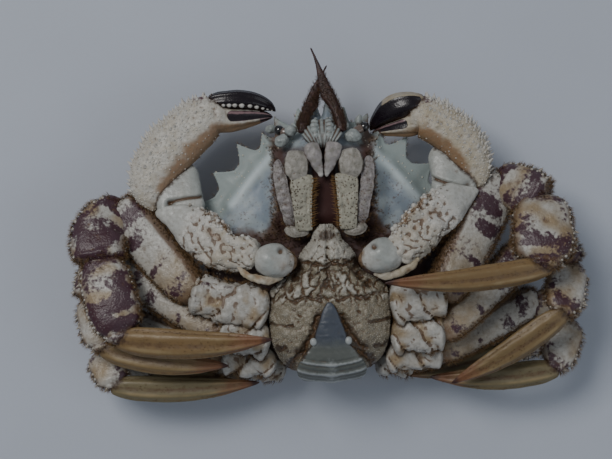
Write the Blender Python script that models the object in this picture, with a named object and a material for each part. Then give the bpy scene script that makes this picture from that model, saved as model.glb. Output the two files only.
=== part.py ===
"""A helmet crab lying on its back, life size, with its limbs folded over its underside.

Every size below is in millimetres, and MM turns it into metres when a mesh is made. +Z is up and is the
crab's underside, +Y is the way its front points, and -X is on the left of somebody looking down on it.
The carapace rests on three small flats at Z = 0.
"""

import math
import random

import bmesh
import bpy
from mathutils import Vector
from mathutils.bvhtree import BVHTree

MM = 0.001
GAP = 0.3
CLEARANCE = 1.25 * GAP
SIDES = {"left": -1, "right": 1}
UP = Vector((0, 0, 1))
ACROSS = Vector((1, 0, 0))
FORWARD = Vector((0, 1, 0))

# The origin is under the middle of the whole animal: this is how far the body's own centre lies from it
BODY_SHIFT = Vector((-0.18, -9.83, 0.0))

# Carapace: half its outline from the front to the rear, and how deep the body is
HALF_OUTLINE = (
    (0.0, 43.4), (7.5, 43.2), (13.2, 41.0), (18.0, 36.8), (25.0, 32.6), (32.6, 25.0), (39.2, 15.6),
    (41.6, 6.0), (40.8, -4.0), (37.6, -14.5), (31.5, -25.0), (22.5, -35.4), (12.0, -40.6), (0.0, -41.4),
)
OUTLINE_STEPS = 20
BODY_CENTRE = Vector((0.0, 2.0, 0.0))
RIM_THICKNESS = 2.4
RIM_HEIGHT = ((90, 20.5), (45, 18.5), (0, 16.5), (-45, 14.5), (-90, 13.0))
SHELF_START = ((90, 0.80), (45, 0.50), (0, 0.74), (-45, 0.88), (-90, 0.93))
REAR_SHELF = 25.6
MOUTH_SHELF = 29.6
DOME_POWER = 2.6
DOME_FLATTENING = 0.35
DOME_LIFT = 1.0
DORSAL_RINGS = (0.12, 0.26, 0.4, 0.53, 0.66, 0.78, 0.9, 1.0)
VENTRAL_RINGS = (1.0, 0.94, 0.86, 0.77, 0.67, 0.55, 0.4, 0.2)

# The three swellings that it lies on, each reaching a little below the floor before it is cut flat
CONTACTS = ((0.0, 17.0), (23.0, -10.0), (-23.0, -10.0))
CONTACT_REACH = 15.0
CONTACT_DIP = 0.6
# The other swellings of the back: place, reach and height
SWELLINGS = (((0.0, -24.0), 10.0, 1.4), ((15.0, 31.0), 8.0, 1.4), ((-15.0, 31.0), 8.0, 1.4))

# Teeth of the carapace edge: root, the way it points, length and width
FRONT_TEETH = ((2.4, 42.6, 88, 6.0, 2.1), (7.0, 42.4, 82, 5.4, 2.0))
SIDE_TEETH = (
    (13.0, 40.0, 62, 5.4, 2.8), (18.2, 35.6, 66, 4.0, 2.6), (25.2, 32.0, 54, 6.0, 3.4),
    (32.4, 24.6, 32, 6.6, 3.8), (38.8, 14.6, 12, 8.0, 4.2), (40.6, 3.4, -6, 4.6, 3.0),
    (38.4, -9.0, -16, 3.6, 2.6),
)
TOOTH_DROOP = -6
TOOTH_FLATNESS = 0.62
TOOTH_SIDES = 6

# Sternum: the plate between the limb bases, with its half width at each place along the body
STERNUM_FRONT = 8.5
STERNUM_HALF_WIDTHS = (
    (STERNUM_FRONT, 2.0), (6.0, 4.2), (2.5, 6.2), (-2.0, 9.2), (-5.5, 10.2), (-7.6, 12.0), (-9.6, 15.4),
    (-12.0, 18.6), (-16.0, 19.8), (-20.0, 20.0), (-25.0, 19.8), (-29.0, 19.4), (-33.0, 18.2), (-36.5, 16.4),
    (-39.6, 13.0),
)
STERNUM_BED = REAR_SHELF + GAP
STERNUM_EDGE = 32.6
STERNUM_CREST = 37.2
STERNUM_REAR_START = -26.0
STERNUM_REAR_DROP = 5.5
STERNUM_GROOVE = 1.1
STERNUM_SEAMS = (-5.5, -12.0, -25.0, -33.0)
STERNUM_SEAM_DEPTH = 0.9
STERNUM_BEADS = 14

# Abdomen: the narrow flap of a male, from its tip round the rear edge: place, half width, half thickness
ABDOMEN = (
    ((0, -16.8, 38.0), 0.9, 0.7), ((0, -19.0, 38.1), 2.2, 1.2), ((0, -22.6, 37.9), 3.5, 1.4),
    ((0, -23.0, 37.9), 3.6, 1.1), ((0, -26.6, 37.5), 4.9, 1.5), ((0, -27.0, 37.5), 5.1, 1.2),
    ((0, -30.2, 36.9), 6.0, 1.6), ((0, -30.6, 36.9), 6.4, 1.2), ((0, -34.6, 35.9), 9.4, 1.6),
    ((0, -35.2, 35.6), 9.9, 1.2), ((0, -38.2, 33.8), 11.3, 1.6), ((0, -39.0, 33.0), 11.5, 1.2),
    ((0, -41.4, 28.8), 10.9, 1.5), ((0, -42.0, 27.0), 10.5, 1.1), ((0, -42.9, 21.0), 10.3, 1.4),
    ((0, -42.8, 16.4), 10.3, 0.8),
)

# Mouth: plates of the outer mouth limb of the right side, each as path, half widths, half thicknesses
# and the direction that it is broad in
MOUTH_PLATES = {
    "ischium": (((7.2, 7.2, 31.6), (7.3, 10, 32.2), (7.5, 17, 32.9), (7.4, 22.8, 33), (7.2, 24.6, 32.6)),
                (1.9, 2.9, 3.4, 3.8, 2.9), (1.4, 2.0, 2.4, 2.3, 1.4), ACROSS),
    "merus": (((8.5, 23.4, 32.5), (8.8, 25.0, 33.1), (9.0, 28.4, 33.4), (9.0, 31.4, 33.0), (8.8, 33.4, 32.2)),
              (2.5, 3.4, 4.1, 3.5, 1.7), (1.4, 2.2, 2.5, 1.9, 1.0), ACROSS),
    "exopod": (((11.9, 8.4, 30.8), (12.5, 13.0, 31.6), (13.5, 18.0, 32.0), (14.5, 24.0, 31.8),
                (14.9, 30.4, 31.2)),
               (1.4, 2.1, 2.35, 2.3, 0.8), (1.1, 1.5, 1.7, 1.5, 0.7), ACROSS),
    "root": (((5.4, 7.4, 30.7), (8.4, 6.7, 31.2), (11.4, 7.2, 31.2), (13.4, 8.8, 30.6)),
             (1.3, 1.9, 1.9, 1.2), (1.1, 1.7, 1.6, 1.0), FORWARD),
    "palp": (((4.8, 35.0, 33.4), (4.0, 33.4, 34.0), (3.1, 31.5, 34.3), (2.3, 28.6, 34.3), (1.3, 24.8, 33.8)),
             (1.6, 2.7, 2.5, 1.9, 0.6), (0.9, 1.2, 1.3, 1.1, 0.6), ACROSS),
}
MOUTH_HINGE = (9.0, 7.2, 31.0)
MOUTH_PLATE_SIDES = 8

# Front: the plate between the mouth and the front, and the two short folded feelers that lie on it
EPISTOME_PATH = ((35.0, 30.6), (36.6, 30.8), (38.4, 29.6), (41.4, 27.6), (43.8, 25.6))
EPISTOME_HALF_WIDTHS = (5.4, 6.4, 3.9, 3.7, 2.4)
EPISTOME_HALF_THICKNESSES = (1.6, 2.1, 2.3, 2.2, 1.2)
FEELER_START = (1.75, 38.2, 32.1)
FEELER_RUN = (0.0, 5.6, -3.6)
FEELER_RINGS = 5
FEELER_SQUASH = (1.45, 0.85, 0.9)

EYE_STALK = ((9.8, 38.6, 26.6), (11.6, 39.3, 25.9), (13.4, 40.1, 25.0))
EYE_STALK_RADII = (1.1, 1.4, 1.5)
EYE_RADIUS = 2.25
EYE_OFFSET = (0.5, 0.4, 0.0)

ANTENNAE = {
    "left": ((-6.4, 38.8, 29.2), (-6.3, 41.0, 28.6), (-5.4, 45.0, 26.6), (-3.9, 49.6, 25.0),
             (-1.6, 54.6, 24.2), (0.7, 58.4, 24.0), (2.6, 61.6, 24.0)),
    "right": ((6.4, 38.8, 29.2), (6.3, 41.0, 28.8), (5.6, 45.0, 27.6), (4.3, 49.6, 27.0), (2.4, 54.6, 26.7),
              (0.5, 59.4, 26.4), (-1.1, 63.6, 26.0), (-2.6, 67.5, 25.6)),
}
ANTENNA_RADII = (
    (0.0, 1.3), (0.1, 1.75), (0.22, 1.5), (0.26, 1.25), (0.4, 1.05), (0.46, 0.75), (0.8, 0.5), (1.0, 0.3),
)
ANTENNA_STEPS = 14
ANTENNA_SIDES = 6

# Walking legs from front to rear, each as its hip, the far ends of its first four lengths, and its tip
LEGS = ("leg1", "leg2", "leg3", "leg4")
SEGMENTS = ("base", "merus", "carpus", "propodus", "dactylus")
JOINTS = {
    "left": {
        "leg1": ((-20.6, -18.8, 31.2), (-44.6, -13.0, 30.0), (-69.0, 16.9, 20.0),
                 (-75.0, -0.6, 30.0), (-68.2, -26.8, 35.0), (-18.8, -28.0, 42.0)),
        "leg2": ((-20.4, -29.6, 29.4), (-36.6, -26.2, 29.0), (-76.4, 1.1, 15.0),
                 (-79.4, -13.4, 21.0), (-74.6, -30.1, 28.0), (-33.8, -36.8, 31.5)),
        "leg3": ((-18.8, -36.8, 25.4), (-36.0, -35.8, 23.4), (-70.0, -21.6, 10.0),
                 (-77.8, -31.8, 16.0), (-72.2, -43.4, 21.0), (-24.4, -43.9, 19.0)),
        "leg4": ((-15.6, -38.8, 18.8), (-27.5, -40.4, 15.4), (-62.2, -29.8, 7.0),
                 (-73.0, -34.0, 8.0), (-60.6, -38.8, 13.0), (-29.0, -41.6, 12.6)),
    },
    "right": {
        "leg1": ((20.6, -18.6, 31.2), (38.0, -16.6, 31.0), (59.4, 21.6, 20.0),
                 (71.2, 13.4, 30.0), (70.2, -8.6, 40.0), (17.8, -11.2, 44.5)),
        "leg2": ((20.4, -29.6, 29.4), (37.2, -29.0, 29.0), (74.2, 2.0, 15.0),
                 (80.8, -8.9, 22.0), (75.9, -24.4, 34.0), (39.7, -46.2, 25.0)),
        "leg3": ((18.8, -36.8, 25.4), (36.4, -36.6, 23.4), (71.0, -20.1, 10.0),
                 (81.6, -28.3, 15.0), (74.5, -43.6, 21.0), (32.9, -44.5, 18.0)),
        "leg4": ((15.6, -38.8, 18.8), (27.5, -40.4, 15.4), (60.5, -28.7, 7.0),
                 (73.2, -34.6, 8.0), (56.4, -37.6, 13.6), (22.6, -43.6, 12.2)),
    },
}
HALF_WIDTHS = {
    "left": {"leg1": (6.2, 7.6, 8.6, 8.0, 4.8), "leg2": (4.9, 5.9, 6.4, 6.4, 4.3),
             "leg3": (3.9, 5.2, 5.4, 5.6, 4.1), "leg4": (3.4, 4.3, 4.3, 4.4, 3.4)},
    "right": {"leg1": (6.4, 7.6, 7.8, 9.0, 4.0), "leg2": (4.9, 5.9, 6.4, 6.4, 4.3),
              "leg3": (3.9, 5.2, 5.4, 5.6, 4.1), "leg4": (3.4, 4.3, 4.3, 4.4, 3.4)},
}
# How far each length is turned about itself, in degrees
ROLLS = {
    "left": {"leg1": (0, -10, 0, 0, 10)},
    "right": {"leg1": (0, 10, 0, 0, -10), "leg2": (0, 0, 0, 0, -14)},
}
NO_ROLLS = (0, 0, 0, 0, 0)
# Along each length: how far, as a share of it, and the half width there, as a share of the widest
PROFILES = {
    "base": ((0.0, 0.96), (0.25, 1.06), (0.5, 1.04), (0.75, 1.0), (0.95, 0.92), (1.15, 0.6)),
    "merus": ((-0.07, 0.5), (0.0, 0.72), (0.12, 0.9), (0.35, 1.0), (0.7, 1.0), (0.9, 0.96), (1.03, 0.74),
              (1.1, 0.4)),
    "carpus": ((-0.22, 0.4), (-0.05, 0.72), (0.22, 0.9), (0.6, 1.0), (0.9, 0.92), (1.15, 0.5)),
    "propodus": ((-0.16, 0.4), (0.0, 0.7), (0.2, 0.94), (0.5, 1.02), (0.78, 0.92), (0.9, 0.62), (1.12, 0.4)),
    "dactylus": ((-0.07, 0.42), (0.0, 0.66), (0.1, 0.9), (0.28, 1.0), (0.55, 0.88), (0.76, 0.62), (0.92, 0.3),
                 (1.0, 0.06)),
}
THICKNESS = {"base": 0.84, "merus": 0.62, "carpus": 0.6, "propodus": 0.52, "dactylus": 0.48}
THINNEST = 0.35
LEG_SIDES = 10
DACTYLUS_RIB = 0.1
# Spines on the outer edge of a length: how far along it, and how big against the usual
LEG_SPINES = {
    "carpus": ((0.25, 1.0), (0.6, 1.15), (0.92, 0.9)),
    "propodus": ((0.2, 0.9), (0.45, 1.0), (0.7, 0.9)),
}
LEG_SPINE_LENGTH = 2.1
LEG_SPINE_SLIMNESS = 0.42
SPINE_LEAN = 0.25
SPINE_SEAT = 0.86

# Claws: joints of the arm, then the curved palm with its fixed finger, and the moving finger
CLAWS = {
    "left": {
        "arm": ((-10.4, -3.4, 34.5), (-23.0, -2.4, 36.2), (-50.0, 13.0, 28.0), (-48.0, 29.0, 20.4)),
        "palm": ((-56.8, 16.6, 23.6), (-57.8, 23.4, 23.4), (-54.8, 30.4, 23.0), (-49.5, 36.6, 22.6),
                 (-42.6, 42.4, 22.0), (-35.6, 46.4, 21.8)),
        "fixed": ((-37.5, 44.0, 21.6), (-30.0, 43.6, 21.4), (-23.0, 43.4, 20.6), (-16.8, 44.4, 19.4)),
        "moving": ((-35.4, 49.4, 22.4), (-30.0, 51.8, 22.6), (-23.6, 52.2, 21.8), (-18.4, 51.0, 20.4),
                   (-15.2, 48.6, 19.2)),
    },
    "right": {
        "arm": ((10.4, -3.4, 34.5), (23.2, -2.8, 36.2), (44.6, 16.0, 28.4), (41.6, 30.6, 20.2)),
        "palm": ((51.0, 16.8, 24.6), (52.2, 23.6, 24.4), (48.4, 31.0, 24.0), (42.6, 37.2, 23.6),
                 (36.4, 41.6, 23.2), (30.8, 44.4, 22.8)),
        "fixed": ((33.6, 41.6, 22.2), (28.0, 39.8, 21.4), (22.0, 39.2, 19.6), (17.2, 39.8, 17.0)),
        "moving": ((31.2, 47.2, 23.4), (27.0, 49.0, 23.2), (22.0, 48.6, 21.6), (18.0, 46.0, 19.0),
                   (15.6, 42.4, 16.4)),
    },
}
ARM_SEGMENTS = ("base", "merus", "carpus")
ARM_WIDTHS = {"base": 5.6, "merus": 7.4, "carpus": 7.6}
ARM_THICKNESS = {"base": 0.92, "merus": 0.6, "carpus": 0.6}
ARM_SIDES = 12
PALM_WIDTHS = (
    (0.0, 2.6), (0.06, 4.6), (0.16, 6.6), (0.34, 8.6), (0.55, 9.0), (0.76, 8.4), (0.9, 7.4), (1.0, 6.6),
)
PALM_THICKNESS = 0.66
PALM_STEPS = 10
PALM_SIDES = 14
PALM_EDGE_SPINES = 11
PALM_SPINE_START = 0.16
PALM_SPINE_END = 0.94
PALM_FACE_SPINES = 10
PALM_SEEDS = {"left": 7, "right": 9}
FIXED_HALF_HEIGHTS = (3.4, 3.6, 3.4, 3.1, 2.6, 1.9, 0.7)
FIXED_HALF_WIDTHS = (3.6, 3.6, 3.3, 2.9, 2.3, 1.6, 0.6)
FIXED_TEETH = ((0.35, 2.9), (0.52, 2.75), (0.68, 2.3), (0.82, 1.9))
MOVING_HALF_HEIGHTS = (3.3, 3.5, 3.3, 3.1, 2.8, 2.4, 1.7, 0.6)
MOVING_HALF_WIDTHS = (3.2, 3.4, 3.1, 2.8, 2.5, 2.0, 1.4, 0.5)
MOVING_TEETH = ((0.3, -2.45), (0.45, -2.55), (0.6, -2.3), (0.74, -1.9))
FINGER_SIDES = 10
FINGER_TOOTH_RADIUS = 1.15
FINGER_TOOTH_SQUASH = (1.0, 1.15, 0.85)

# Colours of the finishes
SHELL = (0.62, 0.58, 0.47)
LEG_SHELL = (0.56, 0.46, 0.40)
HORN = (0.45, 0.30, 0.14)
DARK_HORN = (0.045, 0.035, 0.045)
EYE_BLACK = (0.02, 0.02, 0.025)


def material(name, colour, roughness):
    made = bpy.data.materials.new(name)
    made.use_nodes = True
    shader = made.node_tree.nodes["Principled BSDF"]
    shader.inputs["Base Color"].default_value = (*colour, 1)
    shader.inputs["Roughness"].default_value = roughness
    shader.inputs["Metallic"].default_value = 0.0
    made.diffuse_color = (*colour, 1)
    return made


def mesh_object(name, shape, finish, place=Vector()):
    """One named object, its origin at place, from a bmesh in millimetres."""
    bmesh.ops.recalc_face_normals(shape, faces=shape.faces)
    bmesh.ops.translate(shape, verts=shape.verts, vec=-place)
    bmesh.ops.scale(shape, verts=shape.verts, vec=(MM, MM, MM))
    mesh = bpy.data.meshes.new(name)
    shape.to_mesh(mesh)
    shape.free()
    mesh.materials.append(finish)
    made = bpy.data.objects.new(name, mesh)
    made.location = (place + BODY_SHIFT) * MM
    crab.objects.link(made)
    made.parent = root
    return made


def between(table, value):
    """Straight-line reading of a table of (key, value) pairs, whichever way its keys run."""
    rows = sorted(table)
    if value <= rows[0][0]:
        return rows[0][1]
    for (a, fa), (b, fb) in zip(rows, rows[1:]):
        if value <= b:
            return fa + (fb - fa) * (value - a) / (b - a)
    return rows[-1][1]


def smooth(share):
    share = min(1.0, max(0.0, share))
    return share * share * (3 - 2 * share)


def on_path(path, share):
    """The place and the way that the path runs, at a share of its steps."""
    at = share * (len(path) - 1)
    k = min(int(at), len(path) - 2)
    return path[k].lerp(path[k + 1], at - k), (path[k + 1] - path[k]).normalized()


def curve_through(points, steps, pieces=12):
    """Points spread evenly along a smooth curve through the given ones."""
    places = [Vector(p) for p in points]
    ends = [2 * places[0] - places[1], *places, 2 * places[-1] - places[-2]]
    fine = []
    for a, b, c, d in zip(ends, ends[1:], ends[2:], ends[3:]):
        for i in range(pieces):
            t = i / pieces
            bend = (2 * a - 5 * b + 4 * c - d) * t * t + (3 * b - a - 3 * c + d) * t ** 3
            fine.append(0.5 * (2 * b + (c - a) * t + bend))
    fine.append(places[-1])
    runs = [0.0]
    for a, b in zip(fine, fine[1:]):
        runs.append(runs[-1] + (b - a).length)
    found = []
    for i in range(steps + 1):
        wanted = runs[-1] * i / steps
        k = min(max(1, sum(run < wanted for run in runs)), len(runs) - 1)
        share = (wanted - runs[k - 1]) / max(1e-9, runs[k] - runs[k - 1])
        found.append(fine[k - 1].lerp(fine[k], share))
    return found


def loft(shape, rings):
    """Closed skin over rings of equal count, with a flat cap at each end."""
    made = [[shape.verts.new(p) for p in ring] for ring in rings]
    count = len(rings[0])
    for a, b in zip(made, made[1:]):
        for i in range(count):
            j = (i + 1) % count
            shape.faces.new((a[i], a[j], b[j], b[i]))
    shape.faces.new(list(reversed(made[0])))
    shape.faces.new(made[-1])


def oval(centre, wide, thick, half_width, half_thickness, sides, rib=0.0):
    """A ring of points; rib sinks every second one, which leaves lengthwise ribs."""
    ring = []
    for i in range(sides):
        turn = 2 * math.pi * (i + 0.5 * (rib == 0.0)) / sides
        sink = 1.0 - rib * (i % 2)
        across = wide * half_width * math.cos(turn)
        ring.append(centre + (across + thick * half_thickness * math.sin(turn)) * sink)
    return ring


def swept(path, half_widths, half_thicknesses, broad, sides, rib=0.0):
    """A tube of oval section along a path, its broad side lying along the broad vector."""
    rings = []
    for i, place in enumerate(path):
        along = (path[min(i + 1, len(path) - 1)] - path[max(i - 1, 0)]).normalized()
        wide = (broad - along * broad.dot(along)).normalized()
        thick = along.cross(wide)
        rings.append(oval(place, wide, thick, half_widths[i], half_thicknesses[i], sides, rib))
    shape = bmesh.new()
    loft(shape, rings)
    return shape


def keep_below(shape, point, normal):
    """Cuts off what lies past a plane, on the side that its normal points to."""
    cut = bmesh.ops.bisect_plane(
        shape, geom=shape.verts[:] + shape.edges[:] + shape.faces[:], dist=1e-4,
        plane_co=point, plane_no=normal, clear_outer=True,
    )
    edges = [e for e in cut["geom_cut"] if isinstance(e, bmesh.types.BMEdge) and e.is_boundary]
    bmesh.ops.holes_fill(shape, edges=edges, sides=0)


def mitre(shape, joint, here, there, sign):
    """Ends a length at a joint on the plane halfway between it and its neighbour, less half the gap."""
    normal = (here + there).normalized() * sign
    keep_below(shape, joint - normal * GAP / 2, normal)


def direction(bearing, climb):
    b, c = math.radians(bearing), math.radians(climb)
    return Vector((math.cos(c) * math.cos(b), math.cos(c) * math.sin(b), math.sin(c)))


def broad_side(along, roll=0):
    """Level and square to the limb, then rolled about it."""
    level = UP.cross(along).normalized()
    turn = math.radians(roll)
    return level * math.cos(turn) + along.cross(level) * math.sin(turn)


def spine(base, way, radius, length, sides=5):
    """A blunt-tipped cone whose root goes into what it grows from by a third of its length."""
    sunk = length / 3
    shape = bmesh.new()
    bmesh.ops.create_cone(shape, cap_ends=True, segments=sides, radius1=radius, radius2=radius / 8,
                          depth=length + sunk)
    turn = way.normalized().to_track_quat("Z", "Y").to_matrix()
    bmesh.ops.rotate(shape, verts=shape.verts, matrix=turn)
    bmesh.ops.translate(shape, verts=shape.verts, vec=Vector(base) + way.normalized() * (length - sunk) / 2)
    return shape


def knob(place, radius, sides=6, rings=4, squash=(1, 1, 1)):
    shape = bmesh.new()
    bmesh.ops.create_uvsphere(shape, u_segments=sides, v_segments=rings, radius=radius)
    bmesh.ops.scale(shape, verts=shape.verts, vec=squash)
    bmesh.ops.translate(shape, verts=shape.verts, vec=Vector(place))
    return shape


def separate_surfaces(shape):
    """The corners of each surface that hangs together."""
    left = set(shape.verts)
    groups = []
    while left:
        seed = left.pop()
        group, front = {seed}, [seed]
        while front:
            for link in front.pop().link_edges:
                fresh = [vert for vert in link.verts if vert not in group]
                group.update(fresh)
                front.extend(fresh)
        left -= group
        groups.append(group)
    return groups


def size_of(group):
    corners = [vert.co for vert in group]
    return sum(max(c[k] for c in corners) - min(c[k] for c in corners) for k in range(3))


def keep_largest(mesh):
    """Leaves only the largest closed surface."""
    shape = bmesh.new()
    shape.from_mesh(mesh)
    groups = sorted(separate_surfaces(shape), key=size_of)
    for group in groups[:-1]:
        bmesh.ops.delete(shape, geom=list(group), context="VERTS")
    shape.to_mesh(mesh)
    shape.free()


def boolean(body, tools, operation):
    """Joins or cuts the body with a collection of closed tools, applies it and removes them."""
    workshop = bpy.data.collections.new("tools_" + body.name)
    bpy.context.scene.collection.children.link(workshop)
    for tool in tools:
        workshop.objects.link(tool)
    change = body.modifiers.new("change", "BOOLEAN")
    change.operand_type = "COLLECTION"
    change.collection = workshop
    change.operation = operation
    change.solver = "MANIFOLD"
    bpy.context.view_layer.update()
    seen = body.evaluated_get(bpy.context.evaluated_depsgraph_get())
    result = bpy.data.meshes.new_from_object(seen)
    body.modifiers.clear()
    old, body.data = body.data, result
    bpy.data.meshes.remove(old)
    for tool in tools:
        bpy.data.objects.remove(tool)
    bpy.data.collections.remove(workshop)
    keep_largest(body.data)


def tool_object(shape):
    """A bmesh in millimetres as a plain object in place, for a Boolean."""
    bmesh.ops.recalc_face_normals(shape, faces=shape.faces)
    bmesh.ops.translate(shape, verts=shape.verts, vec=BODY_SHIFT)
    bmesh.ops.scale(shape, verts=shape.verts, vec=(MM, MM, MM))
    mesh = bpy.data.meshes.new("tool")
    shape.to_mesh(mesh)
    shape.free()
    return bpy.data.objects.new("tool", mesh)


def fuse(body, shapes):
    boolean(body, [tool_object(shape) for shape in shapes], "UNION")


def cut_clear(body, neighbour):
    """Takes a neighbour, swollen by the gap, out of the body, so that the two only nearly touch."""
    shape = bmesh.new()
    shape.from_mesh(neighbour.data)
    shape.transform(neighbour.matrix_world)
    bmesh.ops.recalc_face_normals(shape, faces=shape.faces)
    shape.normal_update()
    moves = [vert.normal * CLEARANCE * MM for vert in shape.verts]
    for vert, move in zip(shape.verts, moves):
        vert.co += move
    mesh = bpy.data.meshes.new("tool")
    shape.to_mesh(mesh)
    shape.free()
    boolean(body, [bpy.data.objects.new("tool", mesh)], "DIFFERENCE")


def outline_points():
    """The whole edge of the carapace as seen from above, anticlockwise from the front."""
    half = curve_through([(x, y, 0) for x, y in HALF_OUTLINE], OUTLINE_STEPS)
    left = [Vector((-p.x, p.y, 0)) for p in half]
    return left + [p.copy() for p in reversed(half[1:-1])]


def edge_angle(place):
    """0 at the side, 90 at the front and -90 at the rear, alike on both sides."""
    away = place - BODY_CENTRE
    return math.degrees(math.atan2(away.y, abs(away.x)))


def bowl(place, share):
    """Height of the plain dome, without its swellings."""
    rim = between(RIM_HEIGHT, edge_angle(place)) - RIM_THICKNESS / 2
    steepness = DOME_FLATTENING + (1 - DOME_FLATTENING) * share
    return rim * share ** DOME_POWER * steepness + DOME_LIFT


def share_at(place, edge):
    """How far out a place lies, as a share of the way from the middle to the edge."""
    away = place - BODY_CENTRE
    nearest = min(edge, key=lambda rim: away.angle(rim - BODY_CENTRE))
    return away.length / (nearest - BODY_CENTRE).length


def dorsal_height(place, share, edge):
    """The back, lowered by its swellings, which fade out before the edge."""
    flat = Vector((place.x, place.y, 0))
    total = 0.0
    for x, y in CONTACTS:
        spot = Vector((x, y, 0))
        depth = bowl(spot, share_at(spot, edge)) + CONTACT_DIP
        total += depth * (1 - smooth((flat - spot).length / CONTACT_REACH))
    for (x, y), reach, depth in SWELLINGS:
        total += depth * (1 - smooth((flat - Vector((x, y, 0))).length / reach))
    return bowl(place, share) - total * (1 - share ** 6)


def ventral_height(place, share, edge):
    """The hard floor of the body, which rises from the rim to a shelf, higher under the mouth."""
    angle = edge_angle(place)
    rim = between(RIM_HEIGHT, angle) + RIM_THICKNESS / 2
    mouth = smooth((place.y - 4) / 8) * smooth((22 - abs(place.x)) / 6)
    shelf = REAR_SHELF + (MOUTH_SHELF - REAR_SHELF) * mouth
    start = between(SHELF_START, angle)
    return rim + (shelf - rim) * smooth((1 - share) / (1 - start))


def carapace_body():
    """The dorsal shield and the hard floor of the body as one closed shell."""
    edge = outline_points()
    shape = bmesh.new()

    def ring(share, height):
        made = []
        for rim in edge:
            place = BODY_CENTRE.lerp(rim, share)
            place.z = height(place, share, edge)
            made.append(shape.verts.new(place))
        return made

    rings = [ring(share, dorsal_height) for share in DORSAL_RINGS]
    rings += [ring(share, ventral_height) for share in VENTRAL_RINGS]
    count = len(edge)
    for a, b in zip(rings, rings[1:]):
        for i in range(count):
            j = (i + 1) % count
            shape.faces.new((a[i], a[j], b[j], b[i]))
    for ends, height in ((rings[0], dorsal_height), (rings[-1], ventral_height)):
        middle = BODY_CENTRE.copy()
        middle.z = height(middle, 0.0, edge)
        tip = shape.verts.new(middle)
        for i in range(count):
            shape.faces.new((ends[i], ends[(i + 1) % count], tip))
    keep_below(shape, (0, 0, 0), (0, 0, -1))
    return shape


def edge_teeth():
    """The two pairs of teeth of the front and the toothed front-side margins."""
    teeth = []
    for x, y, bearing, length, radius in FRONT_TEETH + SIDE_TEETH:
        for side in SIDES.values():
            seat = Vector((side * x, y, 0))
            seat.z = between(RIM_HEIGHT, edge_angle(seat))
            way = direction(bearing, TOOTH_DROOP)
            way.x *= side
            tooth = spine(seat, way, radius, length, TOOTH_SIDES)
            for vert in tooth.verts:
                vert.co.z = seat.z + (vert.co.z - seat.z) * TOOTH_FLATNESS
            teeth.append(tooth)
    return teeth


def build_carapace():
    finish = material("shell_carapace", SHELL, 0.5)
    made = mesh_object("carapace", carapace_body(), finish)
    fuse(made, edge_teeth())
    return made


def sternum_section(y, half_width):
    """Points across the plate, from its left foot over the midline groove to its right foot."""
    dip = STERNUM_SEAM_DEPTH if y in STERNUM_SEAMS else 0.0
    front = smooth((STERNUM_FRONT - y) / 9)
    drop = STERNUM_REAR_DROP * smooth((STERNUM_REAR_START - y) / 16)
    edge = STERNUM_EDGE - drop
    crest = STERNUM_EDGE + (STERNUM_CREST - STERNUM_EDGE) * (0.35 + 0.65 * front) - drop * 0.7
    half = (
        (half_width, STERNUM_BED), (half_width, edge - 1.4 - dip),
        (half_width * 0.92, edge - dip), (half_width * 0.6, crest - 0.9 - dip),
        (half_width * 0.28, crest - dip * 0.5), (half_width * 0.1, crest - 0.3),
    )
    left = [Vector((-x, y, z)) for x, z in half]
    right = [Vector((x, y, z)) for x, z in reversed(half)]
    return left + [Vector((0, y, crest - STERNUM_GROOVE))] + right


def sternum_beads():
    """Low round tubercles scattered over the plate, the same ones each time."""
    chance = random.Random(11)
    slope = ((0.28, STERNUM_CREST), (0.6, STERNUM_CREST - 0.9), (0.92, STERNUM_EDGE))
    beads = []
    for _ in range(STERNUM_BEADS):
        y = chance.uniform(STERNUM_REAR_START, 0)
        half = between(STERNUM_HALF_WIDTHS, y)
        share = chance.uniform(0.35, 0.8)
        x = share * half * chance.choice((-1, 1))
        place = (x, y, between(slope, share) - 0.2)
        beads.append(knob(place, chance.uniform(0.7, 1.05), 5, 4, (1, 1, 0.8)))
    return beads


def build_sternum(neighbour):
    finish = material("shell_sternum", SHELL, 0.55)
    shape = bmesh.new()
    loft(shape, [sternum_section(y, w) for y, w in STERNUM_HALF_WIDTHS])
    made = mesh_object("sternum", shape, finish)
    fuse(made, sternum_beads())
    cut_clear(made, neighbour)
    return made


def build_abdomen():
    finish = material("shell_abdomen", SHELL, 0.5)
    path = [Vector(place) for place, _, _ in ABDOMEN]
    half_widths = [half_width for _, half_width, _ in ABDOMEN]
    half_thicknesses = [half_thickness for _, _, half_thickness in ABDOMEN]
    shape = swept(path, half_widths, half_thicknesses, ACROSS, 12)
    return mesh_object("abdomen", shape, finish, path[-1])


def mirrored(place, side):
    """A place of the right side, moved to the side that is wanted."""
    x, y, z = place
    return Vector((SIDES[side] * x, y, z))


def build_maxilliped(side):
    finish = material(f"shell_maxilliped_{side}", SHELL, 0.45)
    pieces = []
    for path, half_widths, half_thicknesses, broad in MOUTH_PLATES.values():
        places = [mirrored(place, side) for place in path]
        pieces.append(swept(places, half_widths, half_thicknesses, broad, MOUTH_PLATE_SIDES))
    made = mesh_object(f"maxilliped_{side}", pieces[0], finish, mirrored(MOUTH_HINGE, side))
    fuse(made, pieces[1:])
    return made


def build_epistome():
    finish = material("shell_epistome", SHELL, 0.55)
    path = [Vector((0, y, z)) for y, z in EPISTOME_PATH]
    shape = swept(path, EPISTOME_HALF_WIDTHS, EPISTOME_HALF_THICKNESSES, ACROSS, 12)
    made = mesh_object("epistome", shape, finish)
    feelers = []
    for side in SIDES:
        for i in range(FEELER_RINGS):
            place = Vector(FEELER_START) + Vector(FEELER_RUN) * i / (FEELER_RINGS - 1)
            feelers.append(knob(mirrored(place, side), 1.0, squash=FEELER_SQUASH))
    fuse(made, feelers)
    return made


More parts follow.
